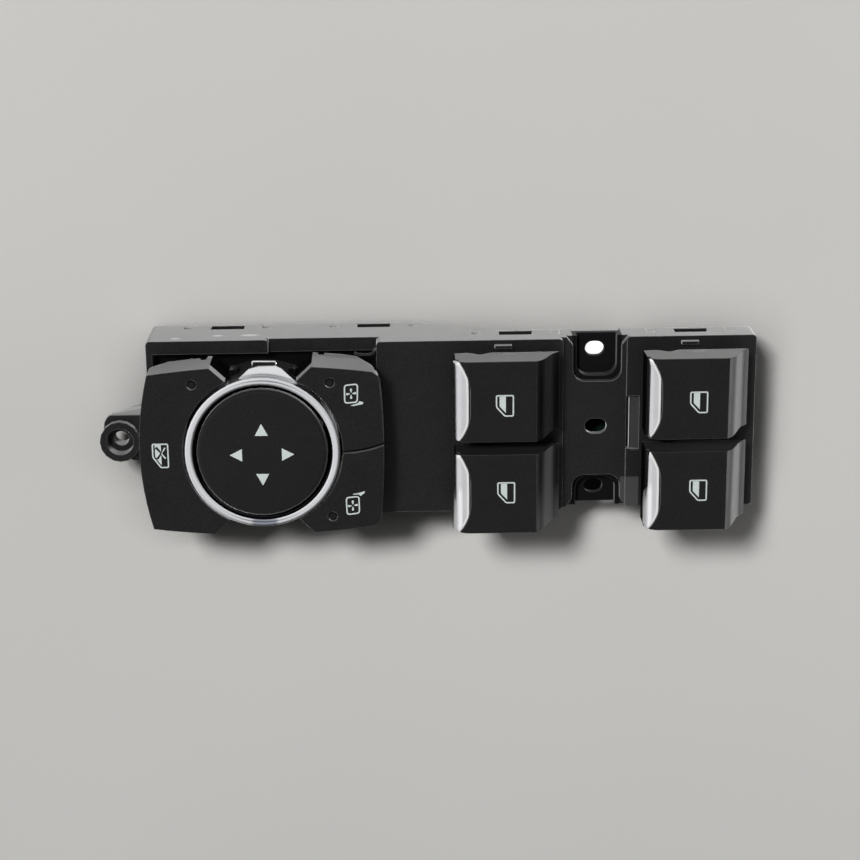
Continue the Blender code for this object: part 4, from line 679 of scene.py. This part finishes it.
KEY_TOP = 41.0
CROSSED_GLASS = [
    [(0.18, 0.95), (0.18, 0.80), (0.27, 0.86), (0.33, 0.86), (0.55, 0.66), (0.55, 0.95)],
    [(0.18, 0.74), (0.24, 0.78), (0.49, 0.60), (0.27, 0.42), (0.18, 0.46)],
    [(0.24, 0.40), (0.31, 0.36), (0.38, 0.36), (0.55, 0.54), (0.55, 0.12)],
    [(0.55, 0.57), (0.75, 0.84), (0.83, 0.80), (0.60, 0.595), (0.84, 0.41), (0.77, 0.37)],
]
lock_print = window_print((-78.3, -6.45, -73.6, 1.0), KEY_TOP, CROSSED_GLASS)
new_piece("window_lock_print", *lock_print, PRINT, "window_lock_key", "button_black")


def petal(centre, out, near, far, half):
    """A drop that points at the centre: a narrow foot, near to it, and an arc of radius half whose tip is far
    from it."""
    out = np.array(out, float)
    across = np.array((-out[1], out[0]))
    turn = np.linspace(-1.2, 1.2, 7)[:, None] * math.pi / 2
    head = centre + out * (far - half) + half * (np.cos(turn) * out + np.sin(turn) * across)
    foot = centre + out * near
    return [foot - across * 0.09, *head, foot + across * 0.09]


def mirror_print(corners, centre, arm):
    """A door mirror: a rounded glass with four drops for its ways, and the arm it stands on."""
    centre = np.array(centre)
    ways = [(1, 0.12), (0.0, 1.0), (-1.0, -0.12), (0.0, -1.0)]
    low, top = KEY_TOP - 0.05, KEY_TOP + PRINT_PROUD
    drops = [petal(centre, way, 0.32, 1.48 if way[0] else 1.55, 0.33) for way in ways]
    outline = rounded_path(corners, 0.85, 6)
    return together(strokes([outline], PRINT_LINE, low, top), patches([*drops, arm], low, top))


UPPER_GLASS = [(-23.15, 17.2), (-23.15, 12.0), (-19.6, 12.25), (-19.45, 17.55)]
UPPER_ARM = [
    (-21.5, 11.30), (-20.8, 11.1), (-18.0, 11.65), (-17.9, 12.2), (-18.95, 12.55), (-19.4, 11.95),
    (-20.2, 11.65),
]
LOWER_GLASS = [(-23.35, -16.2), (-23.2, -21.3), (-19.65, -20.9), (-19.7, -15.9)]
LOWER_ARM = [
    (-21.4, -15.1), (-19.9, -14.85), (-18.0, -14.3), (-18.1, -14.85), (-19.2, -15.75), (-19.75, -15.25),
    (-21.4, -15.3),
]
upper_print = mirror_print(UPPER_GLASS, (-21.3, 14.75), UPPER_ARM)
lower_print = mirror_print(LOWER_GLASS, (-21.5, -18.6), LOWER_ARM)
new_piece("right_mirror_print", *upper_print, PRINT, "right_mirror_key", "button_black")
new_piece("left_mirror_print", *lower_print, PRINT, "left_mirror_key", "button_black")


# The window paddles
# Hollow black shells in soft black paint, each on the stub pins of a tower, with an arm that moves its
# slide switch. A window is printed on each, and a satin chrome trim is set in its lip.

PADDLE_TOP = 46.5
NOSE = 4.0
TRIM_LEFT = {
    "front_right": [(-1, 0.55), (-0.9, 0.25), (0.9, 0.2), (1, 0.2)],
    "front_left": [(-1, 0.2), (-0.9, -0.6), (-0.55, -0.9), (-0.15, -0.3), (0.1, 0.25), (1, 0.4)],
    "rear_right": [(-1, 0.75), (-0.9, 0.6), (0.8, 0.65), (1, 0.5)],
    "rear_left": [(-1, 0.6), (-0.9, 0.1), (-0.5, 0.0), (-0.05, 0.15), (0.1, 0.6), (1, 0.66)],
}
TRIM_HALF = 11.5
TRIM_DEPTH = 0.5
BULGE = {"front_right": 0.75, "front_left": 0.75, "rear_right": 0.3, "rear_left": 0.4}
TRIM_RIGHT = [(0, 3.95), (0.48, 3.9), (0.58, 3.75), (0.66, 3.4), (0.8, 2.65), (0.9, 2.05), (1, 1.35)]


def trim_piece(paddle, x0, y0):
    """A trim round a paddle's lip, wider than its bed. At each station v along the lip, from -1 to 1, it runs
    over the nose from its left edge to its right one by distance s, where s = nose radius * angle round the
    nose, and a negative s goes straight down the wall. It is raised a little over the nose, more towards its
    left edge, with a rolled border."""
    v = np.concatenate([[-1, -0.99], np.linspace(-0.97, 0.97, 37), [0.99, 1]])
    share = np.abs(v)
    left = NOSE * np.interp(v, *np.transpose(TRIM_LEFT[paddle]))
    reach = np.interp(share, *np.transpose(TRIM_RIGHT))
    right = NOSE * np.arccos(1 - reach / NOSE)
    inset = np.array([0, 0.1, 0.3])
    inner = np.linspace(0, 1, 11)[None, :]
    s = np.hstack([
        left[:, None] + inset, (left + 0.5)[:, None] * (1 - inner) + (right - 1.0)[:, None] * inner,
        right[:, None] - np.array([0.75, 0.62, 0.2, 0.07, 0]),
    ])
    lift = np.concatenate([[-0.1, 0.02, 0.08], np.full(11, 0.09), [0.09, 0.07, 0.02, -0.03, -0.15]])
    lift = lift[None, :] - np.interp(share, [0.97, 0.99, 1], [0, 0.06, 0.2])[:, None]
    angle = np.clip(s / NOSE, 0, math.pi / 2)
    lift = lift + BULGE[paddle] * (1 - angle / (math.pi / 2)) ** 1.5
    along = np.broadcast_to((y0 + TRIM_HALF * v)[:, None], s.shape)
    layers = []
    for offset in (lift, np.full_like(lift, -TRIM_DEPTH)):
        round_x = x0 + NOSE - (NOSE + offset) * np.cos(angle)
        round_z = PADDLE_TOP - NOSE + (NOSE + offset) * np.sin(angle) + np.minimum(s, 0)
        layers.append(np.stack([round_x, along, round_z], axis=2).reshape(-1, 3))
    rows, columns = s.shape
    index = np.arange(rows * columns).reshape(rows, columns)
    sheet = np.stack([index[:-1, :-1], index[:-1, 1:], index[1:, 1:], index[1:, :-1]], axis=2).reshape(-1, 4)
    rim = np.concatenate([index[0, :-1], index[:-1, -1], index[-1, :0:-1], index[:0:-1, 0]])
    beyond = np.roll(rim, -1)
    under = rows * columns
    walls = np.column_stack([rim, rim + under, beyond + under, beyond])
    faces = [*sheet.tolist(), *(sheet[:, ::-1] + under).tolist(), *walls.tolist()]
    piece = new_piece(
        paddle + "_lip_trim_skin", np.vstack(layers), faces, CHROME, paddle + "_window", "satin_chrome", 60.0,
    )
    # Painted highlight: the border and the upper end of the sheet take the brighter chrome.
    piece.data.materials.append(HIGHLIGHT_CHROME)
    column, station = np.meshgrid(np.arange(columns - 1), (v[:-1] + v[1:]) / 2)
    border = np.zeros(len(faces), np.int32)
    border[: len(sheet)] = ((column >= columns - 5) | (station > 0.80 + 0.012 * column)).reshape(-1)
    piece.data.polygons.foreach_set("material_index", border)
    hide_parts(paddle + "_lip_trim")


def paddle_painted_shade(place):
    """A painted shade: 1 on the upright foot of each lip, which faces the dark gap to its left, and less on
    the rear walls of the two left-hand paddles, which stand in the dark of the gap, and on the slopes beside
    the saddle."""
    x, y, z = axes(place)
    foot = ((1 - x.above(8.2, 0.05)) + x.within(50.0, 62.3, 0.05)).held() * (1 - z.above(45.0, 0.5))
    facing = place.node("ShaderNodeNewGeometry", output=1)
    right, back, up = axes(facing)
    behind = back.above(0.3, 0.2) * y.within(-9.0, 0.0, 0.5) * 0.85
    slope = right.above(0.15, 0.2) * x.within(30.0, 42.0, 0.5) * (0.3 + y.above(-1.0, 0.5) * 0.5)
    return (foot + behind + slope).held()


def haze_and_painted_streak(place):
    """Haze, with a painted highlight: a bright streak near the lip's edge on the outer half of the two
    left-hand trims.
    """
    x, y, z = axes(place)
    line = (x.within(8.6, 9.6, 0.4) + x.within(62.8, 63.8, 0.4)).held() * (1 - y.above(-14.5, 3.0))
    return (noise(place, 6.0, 3.0) * 0.5 + line).held()


def wall_slits(place):
    """A thin pale slit low on the rear wall of each paddle."""
    x, y, z = axes(place)
    long = x.within(21.6, 25.2, 0.15) + x.within(75.8, 79.4, 0.15)
    return (long.held() * z.within(35.9, 36.3, 0.1) * y.above(24.0, 0.2)).held() * 0.8


CHROME = chrome_finish("satin_chrome_trim", (0.68, 0.68, 0.71), (0.98, 0.98, 1.0), haze_and_painted_streak)
# A brighter copy of the trim's chrome, a painted highlight for the trims' borders.
HIGHLIGHT_CHROME = chrome_finish("satin_chrome_painted_highlight", (0.96, 0.96, 0.95), (1.0, 1.0, 0.99))
PADDLE_PAINT = moulded_black(
    "soft_black_paddle_paint", deep=(0.0045, 0.0042, 0.0046), pale=(0.0135, 0.0130, 0.0136), roughness=0.47,
    sheen=1.0, grain_size=0.22, grain_depth=0.006, edge=(0.2, 0.2, 0.2),
    marks=wall_slits, painted_shade=paddle_painted_shade, reach=0.24,
)
PRINT_CENTRES = {
    "front_right": (21.95, 11.98), "front_left": (22.30, -13.72),
    "rear_right": (76.65, 12.08), "rear_left": (77.05, -13.97),
}
PRINT_HALF = (2.57, 3.2)
for paddle, (x, y) in PRINT_CENTRES.items():
    body = paddle + "_window"
    surfaced(paddle + "_paddle", PADDLE_PAINT, body, "button_black")
    trim_piece(paddle, *PADDLES[paddle])
    box = (x - PRINT_HALF[0], y - PRINT_HALF[1], x + PRINT_HALF[0], y + PRINT_HALF[1])
    new_piece(paddle + "_window_print", *window_print(box, PADDLE_TOP), PRINT, body, "button_black")


# The table
# A plain pale sheet, wide enough to fill the view, slightly warm and uneven as cloth over board is. The patch
# that the rear screw slot shows glows white by itself, a painted light, and the patch that the front one
# shows is painted dark, a painted shade, as in the photo. A painted shadow darkens it close to the object.

def spot(x, y, centre):
    """1 on the patch of table that shows through a screw slot: an oval round its centre."""
    return 1 - (((x - centre[0]) / 3.6) ** 2.0 + ((y - centre[1]) / 2.9) ** 2.0).above(0.9, 0.2)


def table_finish():
    """Soft clouds and a fine weave, with a painted shadow: darker where something stands close on the side of
    the key lamp.
    """
    made, shader, place = new_finish("pale_table")
    cloud = noise(place, 160.0, 2.0)
    weave = noise(place, 0.8, 2.0)
    towards = place.node("ShaderNodeCombineXYZ", {}, {0: -0.35, 1: 0.75, 2: 0.56})
    reach = {"Distance": 0.022, "Normal": towards}
    open_share = place.node("ShaderNodeAmbientOcclusion", {"samples": 6}, reach, output=1)
    lit = cloud.blend((0.54, 0.532, 0.516), (0.58, 0.572, 0.556))
    # Painted shadow: the table darkens where the object stands close on the side of the key lamp.
    colour = open_share.above(0.47, 0.48).blend((0.03, 0.03, 0.03), lit)
    x, y, z = axes(place)
    # Painted shade: the patch seen through the front screw slot is painted near black.
    colour = spot(x, y, (51.6, -27.0)).blend(colour, (0.002, 0.002, 0.002))
    # Painted light: the patch seen through the rear screw slot glows white by itself, though it is no lamp.
    painted_glow = spot(x, y, (51.6, 16.5)).blend((0.0, 0.0, 0.0), (1.0, 1.0, 0.985))
    coat(
        shader, Base_Color=colour, Roughness=0.9, Specular_IOR_Level=0.1, Normal=bumps(weave, 0.05, 0.4),
        Emission_Color=painted_glow, Emission_Strength=1.0,
    )
    return made


TABLE_HALF = 1200.0
table_corners = np.array([(-1, -1, 0), (1, -1, 0), (1, 1, 0), (-1, 1, 0)]) * TABLE_HALF
table_mesh = bpy.data.meshes.new("table")
table_mesh.from_pydata((table_corners * MM).tolist(), [], [(0, 1, 2, 3)])
table_mesh.materials.append(table_finish())
table = bpy.data.objects.new("table", table_mesh)
bpy.context.scene.collection.objects.link(table)


# The lights
# A soft lamp behind and to the left throws the shadow, and a low strip to the right draws the band on the
# paddles' slopes. A pale room stands round them, which metal mirrors brighter than it lights the matt faces.

def lamp(name, place, at, size, power):
    """A rectangle of light at a place, turned to face a point, all in metres and watts."""
    data = bpy.data.lights.new(name, "AREA")
    data.shape = "RECTANGLE"
    data.size, data.size_y = size
    data.energy = power
    made = bpy.data.objects.new(name, data)
    made.location = Vector(place)
    made.rotation_euler = (Vector(at) - Vector(place)).to_track_quat("-Z", "Y").to_euler()
    bpy.context.scene.collection.objects.link(made)
    return made


lamp("key_lamp", (-0.66, 1.00, 2.08), (0.0, 0.0, 0.02), (0.42, 0.36), 57.5).visible_glossy = False
lamp("right_lamp", (0.60, -0.02, 0.045), (0.08, 0.0, 0.06), (0.45, 0.03), 2.8)

room = bpy.data.worlds.new("room")
room.use_nodes = True
bpy.context.scene.world = room
sky = Wire(room.node_tree, room.node_tree.nodes.new("ShaderNodeTexCoord").outputs["Generated"])
across, along, height = axes(sky)
paths = room.node_tree.nodes.new("ShaderNodeLightPath")
by_camera, by_gloss, by_glass = (
    Wire(room.node_tree, paths.outputs[name])
    for name in ("Is Camera Ray", "Is Glossy Ray", "Is Transmission Ray")
)
seen = (by_camera + by_gloss + by_glass).held()
round_about = 0.10 + along.above(-0.2, 0.9) * 0.75 + (0 - across).above(0.1, 0.7) * 0.75
camera_shade = sky.dot((-0.02, 0.28, 0.96))
overhead = height.above(0.55, 0.3)
grey = round_about.held() * (1 - overhead) + overhead * 0.74
grey = grey * (1 - camera_shade.above(0.955, 0.03) * 0.8)
bright = grey.blend((0.0, 0.0, 0.0), (1.0, 1.0, 1.0))
plain = height.above(0.2, 0.7).blend((0.06, 0.06, 0.06), (0.05, 0.05, 0.05))
backdrop = room.node_tree.nodes["Background"]
room.node_tree.links.new(seen.blend(plain, bright).socket, backdrop.inputs["Color"])
backdrop.inputs["Strength"].default_value = 1.0


# The camera
# It looks down from above the rear wall, so that the walls on that side show, and is turned a little. Its
# place is in millimetres, and its turns are in degrees.

EYE = (-9.169, 167.706, 594.828)
TILT, SIDE, ROLL = map(math.radians, (16.5, 1.0, 0.65))
FOCAL_SHARE = 2030 / 860
SENSOR = 36.0
ahead = Vector((math.sin(SIDE), -math.sin(TILT) * math.cos(SIDE), -math.cos(TILT) * math.cos(SIDE)))
up_plain = (Vector((0, 1, 0)) - ahead * ahead.y).normalized()
right_plain = ahead.cross(up_plain)
right = right_plain * math.cos(ROLL) - up_plain * math.sin(ROLL)
up = right_plain * math.sin(ROLL) + up_plain * math.cos(ROLL)
lens = bpy.data.cameras.new("camera")
lens.sensor_fit = "HORIZONTAL"
lens.sensor_width = SENSOR
lens.lens = SENSOR * FOCAL_SHARE
lens.clip_start = 0.01
camera = bpy.data.objects.new("camera", lens)
turn = Matrix((right, up, -ahead)).transposed()
camera.matrix_world = Matrix.Translation(Vector(EYE) * MM) @ turn.to_4x4()
bpy.context.scene.collection.objects.link(camera)
bpy.context.scene.camera = camera
bpy.context.scene.view_settings.view_transform = "Standard"
